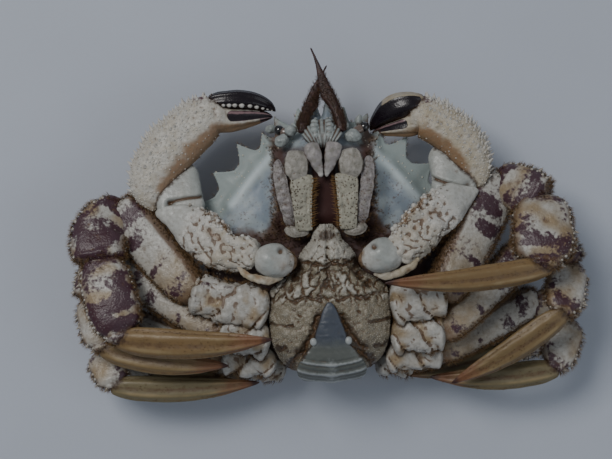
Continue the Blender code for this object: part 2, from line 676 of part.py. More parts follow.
def build_eye(side):
    finish = material(f"eye_{side}", EYE_BLACK, 0.15)
    path = [mirrored(place, side) for place in EYE_STALK]
    made = mesh_object(f"eye_{side}", swept(path, EYE_STALK_RADII, EYE_STALK_RADII, UP, 8), finish, path[0])
    fuse(made, [knob(path[-1] + mirrored(EYE_OFFSET, side), EYE_RADIUS, 8, 6)])
    return made


def build_antenna(side):
    finish = material(f"antenna_{side}", HORN, 0.5)
    path = curve_through(ANTENNAE[side], ANTENNA_STEPS)
    radii = [between(ANTENNA_RADII, i / ANTENNA_STEPS) for i in range(ANTENNA_STEPS + 1)]
    return mesh_object(f"antenna_{side}", swept(path, radii, radii, UP, ANTENNA_SIDES), finish, path[0])


def limb_length(segment, start, way, length, half_width, flatness, roll, sides):
    """One straight length of a limb, run a little past both of its joints."""
    profile = PROFILES[segment]
    path = [start + way * length * share for share, _ in profile]
    widths = [half_width * share for _, share in profile]
    thicknesses = [max(THINNEST, width * flatness) for width in widths]
    rib = DACTYLUS_RIB if segment == "dactylus" else 0.0
    return swept(path, widths, thicknesses, broad_side(way, roll), sides, rib)


def edge_spines(start, run, outer, half_width, rows):
    """A row of spines along the outer edge of a length."""
    found = []
    for share, size in rows:
        seat = start + run * share + outer * half_width * SPINE_SEAT
        way = outer + run.normalized() * SPINE_LEAN
        found.append(spine(seat, way, LEG_SPINE_LENGTH * LEG_SPINE_SLIMNESS, LEG_SPINE_LENGTH * size))
    return found


def build_leg(leg, side):
    joints = [Vector(p) for p in JOINTS[side][leg]]
    runs = [b - a for a, b in zip(joints, joints[1:])]
    ways = [run.normalized() for run in runs]
    rolls = ROLLS[side].get(leg, NO_ROLLS)
    made = []
    for index, segment in enumerate(SEGMENTS):
        name = f"{leg}_{segment}_{side}"
        finish = material("shell_" + name, HORN if segment == "dactylus" else LEG_SHELL, 0.5)
        half_width = HALF_WIDTHS[side][leg][index]
        shape = limb_length(segment, joints[index], ways[index], runs[index].length, half_width,
                            THICKNESS[segment], rolls[index], LEG_SIDES)
        if index == 0:
            keep_below(shape, joints[0], -ways[0])
        else:
            mitre(shape, joints[index], ways[index - 1], ways[index], -1)
        if index < len(ways) - 1:
            mitre(shape, joints[index + 1], ways[index], ways[index + 1], 1)
        piece = mesh_object(name, shape, finish, joints[index])
        if segment in LEG_SPINES:
            outer = broad_side(ways[index], rolls[index]) * SIDES[side]
            fuse(piece, edge_spines(joints[index], runs[index], outer, half_width, LEG_SPINES[segment]))
        made.append(piece)
    return made


def build_arm(side):
    """The three lengths of a claw limb before its palm."""
    joints = [Vector(p) for p in CLAWS[side]["arm"]]
    runs = [b - a for a, b in zip(joints, joints[1:])]
    ways = [run.normalized() for run in runs]
    made = []
    for index, segment in enumerate(ARM_SEGMENTS):
        name = f"claw_{segment}_{side}"
        shape = limb_length(segment, joints[index], ways[index], runs[index].length, ARM_WIDTHS[segment],
                            ARM_THICKNESS[segment], 0, ARM_SIDES)
        if index == 0:
            keep_below(shape, joints[0], -ways[0])
        else:
            mitre(shape, joints[index], ways[index - 1], ways[index], -1)
        if index < len(ARM_SEGMENTS) - 1:
            mitre(shape, joints[index + 1], ways[index], ways[index + 1], 1)
        made.append(mesh_object(name, shape, material("shell_" + name, SHELL, 0.5), joints[index]))
    return made


def palm_spines(path, side):
    """Spines in a row on the outer edge of the palm, and loose ones on its upper face."""
    chance = random.Random(PALM_SEEDS[side])
    found = []
    for i in range(PALM_EDGE_SPINES):
        share = PALM_SPINE_START + (PALM_SPINE_END - PALM_SPINE_START) * i / (PALM_EDGE_SPINES - 1)
        place, along = on_path(path, share)
        outer = broad_side(along) * -SIDES[side]
        seat = place + outer * between(PALM_WIDTHS, share) * SPINE_SEAT
        found.append(spine(seat, outer + along * SPINE_LEAN, 0.95, chance.uniform(2.0, 3.0)))
    for i in range(PALM_FACE_SPINES):
        share = chance.uniform(0.12, 0.88)
        place, along = on_path(path, share)
        outer = broad_side(along) * -SIDES[side]
        half_width = between(PALM_WIDTHS, share)
        off = chance.uniform(0.05, 0.7)
        rise = half_width * PALM_THICKNESS * math.sqrt(1 - off * off) * SPINE_SEAT
        seat = place + outer * half_width * off + UP * rise
        found.append(spine(seat, UP + outer * 0.5 + along * SPINE_LEAN, 0.8, chance.uniform(1.3, 1.9)))
    return found


def finger_teeth(path, rows):
    """Round teeth along the edge of a finger: how far along it, and how far out from its middle."""
    found = []
    for share, out in rows:
        place, _ = on_path(path, share)
        found.append(knob(place + FORWARD * out, FINGER_TOOTH_RADIUS, squash=FINGER_TOOTH_SQUASH))
    return found


def build_palm(side):
    """The swollen palm with its fixed finger, its spines and its teeth."""
    path = curve_through(CLAWS[side]["palm"], PALM_STEPS)
    widths = [between(PALM_WIDTHS, i / PALM_STEPS) for i in range(PALM_STEPS + 1)]
    thicknesses = [width * PALM_THICKNESS for width in widths]
    broad = broad_side((path[2] - path[0]).normalized())
    finish = material(f"shell_claw_palm_{side}", SHELL, 0.5)
    shape = swept(path, widths, thicknesses, broad, PALM_SIDES)
    palm = mesh_object(f"claw_palm_{side}", shape, finish, path[0])
    fixed_path = curve_through(CLAWS[side]["fixed"], len(FIXED_HALF_HEIGHTS) - 1)
    fixed = swept(fixed_path, FIXED_HALF_HEIGHTS, FIXED_HALF_WIDTHS, UP, FINGER_SIDES)
    fuse(palm, [fixed] + palm_spines(path, side) + finger_teeth(fixed_path, FIXED_TEETH))
    return palm


def build_finger(side):
    """The moving finger, which is dark horn with pale teeth."""
    path = curve_through(CLAWS[side]["moving"], len(MOVING_HALF_HEIGHTS) - 1)
    finish = material(f"shell_claw_finger_{side}", DARK_HORN, 0.35)
    shape = swept(path, MOVING_HALF_HEIGHTS, MOVING_HALF_WIDTHS, UP, FINGER_SIDES)
    finger = mesh_object(f"claw_finger_{side}", shape, finish, path[0])
    fuse(finger, finger_teeth(path, MOVING_TEETH))
    return finger


def keep_apart(bodies):
    """Wherever two bodies still run into each other, the later one is hollowed clear of the earlier."""
    bpy.context.view_layer.update()

    def corners(body):
        return [body.matrix_world @ vert.co for vert in body.data.vertices]

    def tree(body):
        return BVHTree.FromPolygons(corners(body), [tuple(face.vertices) for face in body.data.polygons])

    trees = {body.name: tree(body) for body in bodies}
    for i, body in enumerate(bodies):
        for other in bodies[:i]:
            if trees[body.name].overlap(trees[other.name]):
                cut_clear(body, other)
                trees[body.name] = tree(body)


for leftover in list(bpy.data.objects):
    bpy.data.objects.remove(leftover)

crab = bpy.data.collections.new("helmet_crab")
bpy.context.scene.collection.children.link(crab)
root = bpy.data.objects.new("crab_root", None)
crab.objects.link(root)

abdomen = build_abdomen()
sternum = build_sternum(abdomen)
mouth = [build_maxilliped(side) for side in SIDES]
claws = []
for side in SIDES:
    claws += [build_finger(side), build_palm(side), *reversed(build_arm(side))]
legs = [piece for leg in LEGS for side in SIDES for piece in reversed(build_leg(leg, side))]
front = [build_epistome()] + [build_eye(side) for side in SIDES] + [build_antenna(side) for side in SIDES]
carapace = build_carapace()
keep_apart([abdomen, *mouth, *claws, *legs, *front, sternum, carapace])
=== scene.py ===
"""The looks of a helmet crab that lies on its back: shell, horn, hair and colours over the solids."""

import math

import bpy
import numpy as np
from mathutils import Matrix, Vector
from mathutils.bvhtree import BVHTree


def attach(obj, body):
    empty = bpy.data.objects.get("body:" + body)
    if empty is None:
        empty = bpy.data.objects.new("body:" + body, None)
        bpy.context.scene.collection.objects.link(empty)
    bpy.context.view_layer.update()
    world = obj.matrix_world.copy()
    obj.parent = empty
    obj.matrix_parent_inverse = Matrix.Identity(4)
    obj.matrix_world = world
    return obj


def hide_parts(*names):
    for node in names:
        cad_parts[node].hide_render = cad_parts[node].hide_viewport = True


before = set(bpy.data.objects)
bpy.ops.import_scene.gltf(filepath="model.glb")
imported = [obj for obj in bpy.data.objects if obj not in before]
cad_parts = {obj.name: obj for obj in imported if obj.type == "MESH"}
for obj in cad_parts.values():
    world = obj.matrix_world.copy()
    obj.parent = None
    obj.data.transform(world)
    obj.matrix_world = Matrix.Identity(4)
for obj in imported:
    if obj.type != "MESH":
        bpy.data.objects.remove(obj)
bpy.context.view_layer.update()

# Camera
# It looks straight down on the crab's belly from half a metre above the floor, turned a little about its
# line of sight, because the crab lies slightly askew in the view.
MM = 0.001
CAMERA_PLACE = (-6.8, -2.8, 530.0)
CAMERA_TURN = -2.36
CAMERA_VIEW = 22.85
CAMERA_NEAREST = 0.01

camera = bpy.data.objects.new("camera", bpy.data.cameras.new("camera"))
camera.location = Vector(CAMERA_PLACE) * MM
camera.rotation_euler = (0, 0, math.radians(CAMERA_TURN))
camera.data.angle = math.radians(CAMERA_VIEW)
camera.data.clip_start = CAMERA_NEAREST
bpy.context.scene.collection.objects.link(camera)
bpy.context.scene.camera = camera

# Floor and light
# A plain pale painted floor, and soft studio light: one wide lamp high on the left, a weaker one on the
# right and an even pale sky.
FLOOR_SIZE = 4.0
FLOOR_COLOUR = (0.50, 0.54, 0.62)
FLOOR_SHADE = (0.465, 0.5022, 0.5766)
LAMPS = (
    ("key_lamp", (-420, 420, 900), 420, 5.6, (1.0, 0.98, 0.95)),
    ("fill_lamp", (650, -250, 600), 600, 1.0, (0.90, 0.95, 1.0)),
)
SKY_COLOUR = (0.86, 0.92, 1.0)
SKY_STRENGTH = 0.24


class Wire:
    """An output of a node, so that a pattern is written as a sum or a product of others."""

    def __init__(self, net, socket):
        self.net = net
        self.socket = socket

    def maths(self, operation, *others):
        return self.net.node("ShaderNodeMath", {"operation": operation}, (self, *others))

    def __add__(self, other):
        return self.maths("ADD", other)

    def __sub__(self, other):
        return self.maths("SUBTRACT", other)

    def __mul__(self, other):
        return self.maths("MULTIPLY", other)

    def __rsub__(self, other):
        return self.net.node("ShaderNodeMath", {"operation": "SUBTRACT"}, (other, self))

    __radd__ = __add__
    __rmul__ = __mul__

    def step(self, low, high):
        """0 below low and 1 above high, smooth between them."""
        settings = {"interpolation_type": "SMOOTHSTEP"}
        return self.net.node("ShaderNodeMapRange", settings, {0: self, 1: low, 2: high})


class Net:
    """The nodes of one finish, or of one rule by which things are set on a surface."""

    def __init__(self, tree):
        self.tree = tree

    def node(self, kind, settings=None, inputs=(), out=0):
        made = self.tree.nodes.new(kind)
        for name, value in (settings or {}).items():
            setattr(made, name, value)
        for key, value in inputs.items() if isinstance(inputs, dict) else enumerate(inputs):
            if isinstance(value, Wire):
                self.tree.links.new(value.socket, made.inputs[key])
            else:
                made.inputs[key].default_value = value
        return Wire(self, made.outputs[out])

    def scaled(self, vector, factor):
        return self.node("ShaderNodeVectorMath", {"operation": "SCALE"}, {0: vector, "Scale": factor})


class Finish(Net):
    """One material: its patterns are read where the piece lies, in millimetres, or from marks on its mesh."""

    def __init__(self, name):
        self.material = bpy.data.materials.new(name)
        self.material.use_nodes = True
        super().__init__(self.material.node_tree)
        self.shader = self.tree.nodes["Principled BSDF"]
        self.place = self.scaled(self.node("ShaderNodeTexCoord", out="Object"), 1 / MM)

    def mark(self, name):
        return self.node("ShaderNodeAttribute", {"attribute_name": name}, out="Fac")

    def noise(self, size, detail=3.0):
        inputs = {"Vector": self.place, "Scale": 1 / size, "Detail": detail}
        return self.node("ShaderNodeTexNoise", {"noise_dimensions": "3D"}, inputs)

    def cells(self, size, out="Distance"):
        return self.node("ShaderNodeTexVoronoi", None, {"Vector": self.place, "Scale": 1 / size}, out)

    def mix(self, share, first, second):
        first, second = [c if isinstance(c, Wire) else (*c, 1.0) for c in (first, second)]
        return self.node("ShaderNodeMix", {"data_type": "RGBA"}, {0: share, 6: first, 7: second}, 2)

    def bump(self, height, depth, normal=None):
        inputs = {"Height": height, "Strength": 1.0, "Distance": depth * MM}
        if normal is not None:
            inputs["Normal"] = normal
        return self.node("ShaderNodeBump", None, inputs)

    def ragged(self, mark, size, spread, low, high, detail=4.0):
        """A mark whose edge is broken up by noise: 0 below low and 1 above high."""
        return (self.mark(mark) + (self.noise(size, detail) - 0.5) * spread).step(low, high)

    def set(self, **sockets):
        for name, value in sockets.items():
            socket = self.shader.inputs[name.replace("_", " ")]
            if isinstance(value, Wire):
                self.tree.links.new(value.socket, socket)
            else:
                socket.default_value = value
        return self.material


def floor_finish():
    paint = Finish("floor_paint")
    shade = paint.mix(paint.noise(40.0, 2.0), FLOOR_COLOUR, FLOOR_SHADE)
    return paint.set(Base_Color=shade, Roughness=0.75, Normal=paint.bump(paint.noise(1.2), 0.05))


bpy.ops.mesh.primitive_plane_add(size=FLOOR_SIZE, location=(0, 0, 0))
floor = bpy.context.object
floor.name = "floor"
floor.data.materials.append(floor_finish())

for name, place, width, strength, colour in LAMPS:
    lamp = bpy.data.objects.new(name, bpy.data.lights.new(name, "AREA"))
    lamp.data.size = width * MM
    lamp.data.energy = strength
    lamp.data.color = colour
    lamp.location = Vector(place) * MM
    lamp.rotation_euler = (-lamp.location).to_track_quat("-Z", "Y").to_euler()
    bpy.context.scene.collection.objects.link(lamp)

sky = bpy.data.worlds.new("sky")
sky.use_nodes = True
sky.node_tree.nodes["Background"].inputs["Color"].default_value = (*SKY_COLOUR, 1.0)
sky.node_tree.nodes["Background"].inputs["Strength"].default_value = SKY_STRENGTH
bpy.context.scene.world = sky

# Carapace
# The shield of the back and the hard floor of the body under the mouth, one shell of stiff limy cuticle.
# Its edge carries the teeth, its back lies on three low swellings, and short bristles cover it.
BODY_SHIFT = np.array((-0.18, -9.83, 0.0))
SIDES = {"left": -1, "right": 1}
UP = np.array((0.0, 0.0, 1.0))
BODY_CENTRE = np.array((0.0, 2.0))
HALF_OUTLINE = (
    (0.0, 43.4), (7.5, 43.2), (13.2, 41.0), (18.0, 36.8), (25.0, 32.6), (32.6, 25.0), (39.2, 15.6),
    (41.6, 6.0), (40.8, -4.0), (37.6, -14.5), (31.5, -25.0), (22.5, -35.4), (12.0, -40.6), (0.0, -41.4),
)
RIM_THICKNESS = 2.0
RIM_HEIGHT = ((90, 20.5), (45, 18.5), (0, 16.5), (-45, 14.5), (-90, 13.0))
SHELF_START = ((90, 0.80), (45, 0.50), (0, 0.74), (-45, 0.88), (-90, 0.93))
REAR_SHELF = 25.4
MOUTH_SHELF = 29.4
DOME_POWER = 2.6
DOME_FLATTENING = 0.35
DOME_LIFT = 1.0
CONTACTS = ((0.0, 17.0), (23.0, -10.0), (-23.0, -10.0))
CONTACT_REACH = 15.0
CONTACT_DIP = 0.6
# Swellings of the back beside those that it lies on: place, reach and height
SWELLINGS = (
    ((0.0, -24.0), 10.0, 1.4), ((15.0, 31.0), 8.0, 1.4), ((-15.0, 31.0), 8.0, 1.4), ((9.0, 24.0), 6.0, 0.9),
    ((-9.0, 24.0), 6.0, 0.9), ((0.0, -6.0), 8.0, 1.0), ((30.0, 12.0), 7.0, 0.9), ((-30.0, 12.0), 7.0, 0.9),
    ((15.0, -30.0), 7.0, 0.8), ((-15.0, -30.0), 7.0, 0.8),
)
# Teeth of the edge: root, the way it points, length and half width
EDGE_TEETH = (
    (2.0, 42.6, 91, 8.0, 2.3), (7.0, 42.4, 82, 5.4, 2.3), (13.0, 40.0, 62, 5.4, 3.2),
    (18.2, 35.6, 66, 4.0, 3.0), (25.2, 32.0, 54, 5.8, 3.8), (32.4, 24.6, 32, 5.4, 4.2),
    (38.8, 14.6, 12, 7.6, 5.0), (40.6, 3.4, -6, 4.6, 4.0), (38.4, -9.0, -16, 3.6, 3.4),
)
TOOTH_DROOP = 0.10
# The sharp fold of the body's floor beside the mouth, from the mouth's corner out to the edge
CHEEK_FOLD = ((16.4, 33.6), (24.0, 25.4), (31.4, 16.6))
CHEEK_FOLD_HEIGHT = 2.0
BACK_PAINT = (0.36, 0.22, 0.10)
BACK_PALE = (0.55, 0.42, 0.24)
BACK_RED = (0.20, 0.07, 0.05)
CHEEK_PALE = (0.36, 0.41, 0.43)
CHEEK_BLUE = (0.24, 0.29, 0.345)
CHEEK_CREAM = (0.38, 0.37, 0.33)
CHEEK_GREEN = (0.285, 0.335, 0.33)
CHEEK_BROWN = (0.10, 0.050, 0.030)
# Painted shade with dirt and dark hair on the floor of the body, under the mouth plates and the limbs
UNDERSIDE_SHADE_AND_DIRT = (0.045, 0.012, 0.010)
HAIR_ROOT = (0.085, 0.040, 0.016)
HAIR_TIP = (0.36, 0.22, 0.085)
HAIR_DARK = (0.035, 0.015, 0.008)
GRAIN_PALE = (0.80, 0.74, 0.60)
# Painted shade with brown stain in the hollows of a shell, and darker painted shade with grime where
# two pieces almost touch
HOLLOW_SHADE_AND_STAIN = (0.115, 0.058, 0.024)
GAP_SHADE_AND_GRIME = (0.045, 0.020, 0.009)
EDGE_STEPS = 420
BACK_RINGS = 64
FLOOR_RINGS = 60
# Each tuft: its hairs, how far they lean apart, how much its way strays, and its patch on the unwrap
TUFT_HAIRS = 5
TUFT_SPREAD = 0.3
HAIR_STRAY = 0.35
PATCH_WIDTH = 0.003
# The most places that a rule tries on each square metre of a skin
MOST_ROOTS = 6e6


def smooth(share):
    share = np.clip(share, 0.0, 1.0)
    return share * share * (3 - 2 * share)


def bell(value, middle, reach):
    """1 at the middle, and 0 from reach away."""
    return 1 - smooth(np.abs(value - middle) / reach)


def reading(table, value):
    """Straight-line reading of a table of (key, value) pairs."""
    keys, marks = np.array(sorted(table), float).T
    return np.interp(value, keys, marks)


def flowing(table, value):
    """Smooth reading of a table of (key, value) pairs."""
    keys, marks = np.array(sorted(table), float).T
    slopes = np.gradient(marks, keys)
    k = np.clip(np.searchsorted(keys, value) - 1, 0, len(keys) - 2)
    run = keys[k + 1] - keys[k]
    t = np.clip((value - keys[k]) / run, 0, 1)
    start = (1 + 2 * t) * (1 - t) ** 2 * marks[k] + t * (1 - t) ** 2 * run * slopes[k]
    return start + t * t * (3 - 2 * t) * marks[k + 1] + t * t * (t - 1) * run * slopes[k + 1]


def curve_through(points, steps, pieces=24):
    """Places spread evenly along a smooth curve through the given ones."""
    places = np.array(points, float)
    ends = np.concatenate([[2 * places[0] - places[1]], places, [2 * places[-1] - places[-2]]])
    a, b, c, d = (ends[i:len(ends) - 3 + i, None] for i in range(4))
    t = (np.arange(pieces) / pieces)[None, :, None]
    bend = (2 * a - 5 * b + 4 * c - d) * t ** 2 + (3 * b - a - 3 * c + d) * t ** 3
    fine = np.concatenate([(0.5 * (2 * b + (c - a) * t + bend)).reshape(-1, places.shape[1]), places[-1:]])
    runs = np.concatenate([[0], np.cumsum(np.linalg.norm(np.diff(fine, axis=0), axis=1))])
    wanted = np.linspace(0, runs[-1], steps + 1)
    return np.stack([np.interp(wanted, runs, fine[:, k]) for k in range(places.shape[1])], 1)


def lumps(places, size, seed):
    """Smooth random hills and hollows between 1 and -1, about size across."""
    at = np.asarray(places, float) / size + seed * 17.31
    cell = np.floor(at).astype(np.int64)
    part = smooth(at - cell)
    total = np.zeros(at.shape[:-1])
    for corner in np.ndindex(2, 2, 2):
        x, y, z = np.moveaxis(cell + np.array(corner), -1, 0)
        mixed = (x * 73856093) ^ (y * 19349663) ^ (z * 83492791)
        mixed = ((mixed ^ (mixed >> 13)) * 1274126177) & 0x7FFFFFFF
        weight = np.prod(np.where(corner, part, 1 - part), axis=-1)
        total += weight * (mixed / 0x3FFFFFFF - 1)
    return total


def marked(mesh, name, values):
    """Keeps a number, or a vector, for each corner of the mesh under a name that finishes and trees read."""
    values = np.ascontiguousarray(values, np.float32)
    kind, key = ("FLOAT_VECTOR", "vector") if values.ndim == 2 else ("FLOAT", "value")
    mesh.attributes.new(name, kind, "POINT").data.foreach_set(key, values.ravel())


def hollows(rings, reach=2):
    """How far each place of a skin lies below those around it, in millimetres."""
    ends = np.pad(rings, ((reach, reach), (0, 0), (0, 0)), mode="edge")
    around = np.roll(rings, reach, axis=1) + np.roll(rings, -reach, axis=1)
    around = (around + ends[2 * reach:] + ends[:-2 * reach]) / 4
    way = np.cross(np.gradient(rings, axis=0), np.roll(rings, -1, axis=1) - np.roll(rings, 1, axis=1))
    way /= np.maximum(np.linalg.norm(way, axis=-1, keepdims=True), 1e-9)
    out = np.sign(np.sum(way * (rings - rings.mean(axis=1, keepdims=True))))
    return out * np.sum((around - rings) * way, axis=-1)


def skin(name, rings, marks, finish, cell=(0, 0, 1)):
    """A closed skin over rings of points in millimetres, each end drawn together at one point.

    Its marks are one number for all of it or one for each point. The cell is the column and row, in so
    many of each, that the skin has on the unwrap of the whole piece.
    """
    count, sides = rings.shape[:2]
    column, row, cells = cell
    v, u = np.meshgrid(np.linspace(0.02, 0.98, count), np.linspace(0.02, 0.98, sides), indexing="ij")
    marks = {**marks, "unwrap": np.stack([(column + u) / cells, (row + v) / cells, 0 * u], -1)}
    marks.setdefault("hollow", hollows(rings))
    corners = np.concatenate([rings.reshape(-1, 3), rings[0].mean(0)[None], rings[-1].mean(0)[None]])
    i, j = np.arange(count - 1)[:, None] * sides, np.arange(sides)[None]
    k = (j + 1) % sides
    quads = np.stack([i + j, i + k, i + sides + k, i + sides + j], -1).reshape(-1, 4)
    first = np.stack([k[0], j[0], np.full(sides, count * sides)], -1)
    last = np.stack([j[0], k[0], np.full(sides, count * sides + 1)], -1) + [[(count - 1) * sides] * 2 + [0]]
    a, b, c = corners[quads[:, 0]], corners[quads[:, 1]], corners[quads[:, 2]]
    middle = corners.mean(0)
    if np.einsum("ij,ij->i", a - middle, np.cross(b - middle, c - middle)).sum() < 0:
        quads, first, last = quads[:, ::-1], first[:, ::-1], last[:, ::-1]
    places = ((corners + BODY_SHIFT) * MM).tolist()
    mesh = bpy.data.meshes.new(name)
    mesh.from_pydata(places, [], quads.tolist() + first.tolist() + last.tolist())
    mesh.shade_smooth()
    for key, values in marks.items():
        values = np.broadcast_to(values, rings.shape if np.ndim(values) == 3 else rings.shape[:2])
        flat = values.reshape(count * sides, *values.shape[2:])
        marked(mesh, key, np.concatenate([flat, values[0].mean(0)[None], values[-1].mean(0)[None]]))
    mesh.materials.append(finish)
    made = bpy.data.objects.new(name, mesh)
    bpy.context.scene.collection.objects.link(made)
    return made


def tree_named(name, inputs):
    """An empty rule for growing things on a surface, with its named inputs."""
    tree = bpy.data.node_groups.new(name, "GeometryNodeTree")
    tree.interface.new_socket("Geometry", in_out="INPUT", socket_type="NodeSocketGeometry")
    for label, kind in inputs.items():
        tree.interface.new_socket(label, in_out="INPUT", socket_type="NodeSocket" + kind)
    tree.interface.new_socket("Geometry", in_out="OUTPUT", socket_type="NodeSocketGeometry")
    net = Net(tree)
    start = tree.nodes.new("NodeGroupInput")
    return net, {socket.name: Wire(net, socket) for socket in start.outputs if socket.name}


def named(net, name, kind="FLOAT_VECTOR"):
    return net.node("GeometryNodeInputNamedAttribute", {"data_type": kind}, {"Name": name})


def grown(piece, tree, settings):
    """The piece as a rule makes it, a plain mesh again."""
    change = piece.modifiers.new("rule", "NODES")
    change.node_group = tree
    for item in tree.interface.items_tree:
        if item.in_out == "INPUT" and item.name in settings:
            change[item.identifier] = settings[item.name]
    bpy.context.view_layer.update()
    seen = piece.evaluated_get(bpy.context.evaluated_depsgraph_get())
    result = bpy.data.meshes.new_from_object(seen)
    piece.modifiers.clear()
    old, piece.data = piece.data, result
    bpy.data.meshes.remove(old)
    return piece


def random_number(net, low, high, seed):
    return net.node("FunctionNodeRandomValue", {"data_type": "FLOAT"}, {2: low, 3: high, "Seed": seed}, 1)


def grains_rule():
    """Low round grains scattered on a skin, close where its grain mark is high, and kept with the skin."""
    inputs = {"Spacing": "Float", "Size": "Float", "Seed": "Int", "Finish": "Material"}
    net, given = tree_named("grains", inputs)
    scatter = net.node(
        "GeometryNodeDistributePointsOnFaces", {"distribute_method": "POISSON"},
        {"Mesh": given["Geometry"], "Distance Min": given["Spacing"], "Density Max": MOST_ROOTS,
         "Density Factor": named(net, "grain", "FLOAT"), "Seed": given["Seed"]},
    )
    turn = Wire(net, scatter.socket.node.outputs["Rotation"])
    ball = net.node("GeometryNodeMeshIcoSphere", None, {"Radius": 1.0, "Subdivisions": 1})
    size = random_number(net, 0.6, 1.25, 5) * given["Size"]
    scale = net.node("ShaderNodeCombineXYZ", None, (size, size, size * 0.75))
    inputs = {"Points": scatter, "Instance": ball, "Rotation": turn, "Scale": scale}
    grains = net.node("GeometryNodeInstanceOnPoints", None, inputs)
    settings = {"data_type": "FLOAT", "domain": "INSTANCE"}
    inputs = {0: grains, "Name": "grain_top", "Value": 1.0}
    grains = net.node("GeometryNodeStoreNamedAttribute", settings, inputs)
    both = net.node("GeometryNodeJoinGeometry", None, {0: grains})
    net.tree.links.new(given["Geometry"].socket, both.socket.node.inputs[0])
    both = net.node("GeometryNodeSetShadeSmooth", None, {0: both})
    finish_rule(net, both, given["Finish"])
    return net.tree


def finish_rule(net, geometry, finish):
    """Every rule ends by making its copies real and giving them their finish."""
    real = net.node("GeometryNodeRealizeInstances", None, {0: geometry})
    done = net.node("GeometryNodeSetMaterial", None, {"Geometry": real, "Material": finish})
    end = net.tree.nodes.new("NodeGroupOutput")
    net.tree.links.new(done.socket, end.inputs[0])


grains = grains_rule()


def grained(piece, finish, spacing, size, seed):
    """Grains on a skin: how far apart and how big, in millimetres."""
    return grown(piece, grains, {"Spacing": spacing * MM, "Size": size * MM, "Seed": seed, "Finish": finish})


def tuft_shape(name, hairs, spread, seed):
    """A tuft of tapered hairs of three sides, one unit long, that lean apart and bend over together."""
    chance = np.random.default_rng(seed)
    corners, faces, root, patch = [], [], [], []
    for index in range(hairs):
        turn = 2 * math.pi * (index + chance.uniform(-0.3, 0.3)) / hairs
        way = np.array((math.cos(turn), math.sin(turn), 0.0))
        foot = way * spread * 0.35 * (index > 0)
        tip = way * spread * chance.uniform(0.6, 1.2) + np.array((0.22, 0.0, chance.uniform(0.75, 1.0)))
        elbow = foot * 0.6 + tip * 0.4 + np.array((-0.05, 0.0, 0.12))
        first = len(corners)
        for place, width, share in ((foot, 0.026, 0.0), (elbow, 0.019, 0.5)):
            for side in range(3):
                angle = turn + 2 * math.pi * side / 3
                corners.append(place + width * np.array((math.cos(angle), math.sin(angle), 0.0)))
                root.append(share)
                patch.append(((index + 0.2 + 0.3 * side) / hairs - 0.5, share - 0.5, 0.0))
        corners.append(tip)
        root.append(1.0)
        patch.append(((index + 0.5) / hairs - 0.5, 0.5, 0.0))
        for side in range(3):
            other = (side + 1) % 3
            faces.append((first + side, first + other, first + 3 + other, first + 3 + side))
            faces.append((first + 3 + side, first + 3 + other, first + 6))
        faces.append((first + 2, first + 1, first))
    mesh = bpy.data.meshes.new(name)
    mesh.from_pydata(np.array(corners).tolist(), [], faces)
    mesh.shade_smooth()
    marked(mesh, "root", np.array(root))
    marked(mesh, "patch", np.array(patch))
    return bpy.data.objects.new(name, mesh)


def coat_rule():
    """Tufts rooted where a skin's hair mark is high, along its lie, each with its own patch to bake on."""
    inputs = {
        "Tuft": "Object", "Spacing": "Float", "Reach": "Float", "Stray": "Float", "Seed": "Int",
        "Finish": "Material",
    }
    net, given = tree_named("coat", inputs)
    roots = net.node(
        "GeometryNodeDistributePointsOnFaces", {"distribute_method": "POISSON"},
        {"Mesh": given["Geometry"], "Distance Min": given["Spacing"], "Density Max": MOST_ROOTS,
         "Density Factor": named(net, "hair", "FLOAT"), "Seed": given["Seed"]},
    )
    settings = {"data_type": "FLOAT_VECTOR"}
    stray = net.node("FunctionNodeRandomValue", settings, {0: (-1.0,) * 3, 1: (1.0,) * 3, "Seed": 3})
    lie = net.node("ShaderNodeVectorMath", {"operation": "NORMALIZE"}, {0: named(net, "lie")})
    stray = net.scaled(stray, given["Stray"])
    way = net.node("ShaderNodeVectorMath", {"operation": "ADD"}, {0: lie, 1: stray})
    turn = net.node("FunctionNodeAlignRotationToVector", {"axis": "Z"}, {"Vector": way})
    inputs = {"Axis": (0.0, 0.0, 1.0), "Angle": random_number(net, 0.0, 2 * math.pi, 7)}
    twist = net.node("FunctionNodeAxisAngleToRotation", None, inputs)
    inputs = {"Rotation": turn, "Rotate By": twist}
    turn = net.node("FunctionNodeRotateRotation", {"rotation_space": "LOCAL"}, inputs)
    reach = given["Reach"]
    scale = net.node("ShaderNodeCombineXYZ", None, (reach, reach, random_number(net, 0.55, 1.15, 9) * reach))
    tuft = net.node("GeometryNodeObjectInfo", None, {"Object": given["Tuft"]})
    tuft = Wire(net, tuft.socket.node.outputs["Geometry"])
    inputs = {"Points": roots, "Instance": tuft, "Rotation": turn, "Scale": scale}
    hair = net.node("GeometryNodeInstanceOnPoints", None, inputs)
    hair = net.node("GeometryNodeRealizeInstances", None, {0: hair})
    across = net.scaled(named(net, "patch"), PATCH_WIDTH)
    spot = net.node("ShaderNodeVectorMath", {"operation": "ADD"}, {0: named(net, "unwrap"), 1: across})
    settings = {"data_type": "FLOAT2", "domain": "CORNER"}
    hair = net.node("GeometryNodeStoreNamedAttribute", settings, {0: hair, "Name": "OFBake", "Value": spot})
    finish_rule(net, hair, given["Finish"])
    return net.tree


def hair_finish():
    """Brown bristles, darker at the root and golden towards the tip, darkest where the skin is marked deep.

    That is the dark hair at the antennae's roots, and painted shade with dirt under the mouth plates and
    limbs.
    """
    paint = Finish("bristle")
    base = paint.mix(paint.mark("root") * 0.8 + paint.noise(2.5) * 0.5 - 0.25, HAIR_ROOT, HAIR_TIP)
    # darkest where marked deep: painted shade under the mouth plates and limbs, dark hair on the antennae
    base = paint.mix(paint.mark("deep") * 0.85, base, HAIR_DARK)
    return paint.set(Base_Color=base, Roughness=paint.noise(0.8) * 0.3 + 0.4)


coat = coat_rule()
bristle = hair_finish()
tuft = tuft_shape("tuft", TUFT_HAIRS, TUFT_SPREAD, 1)


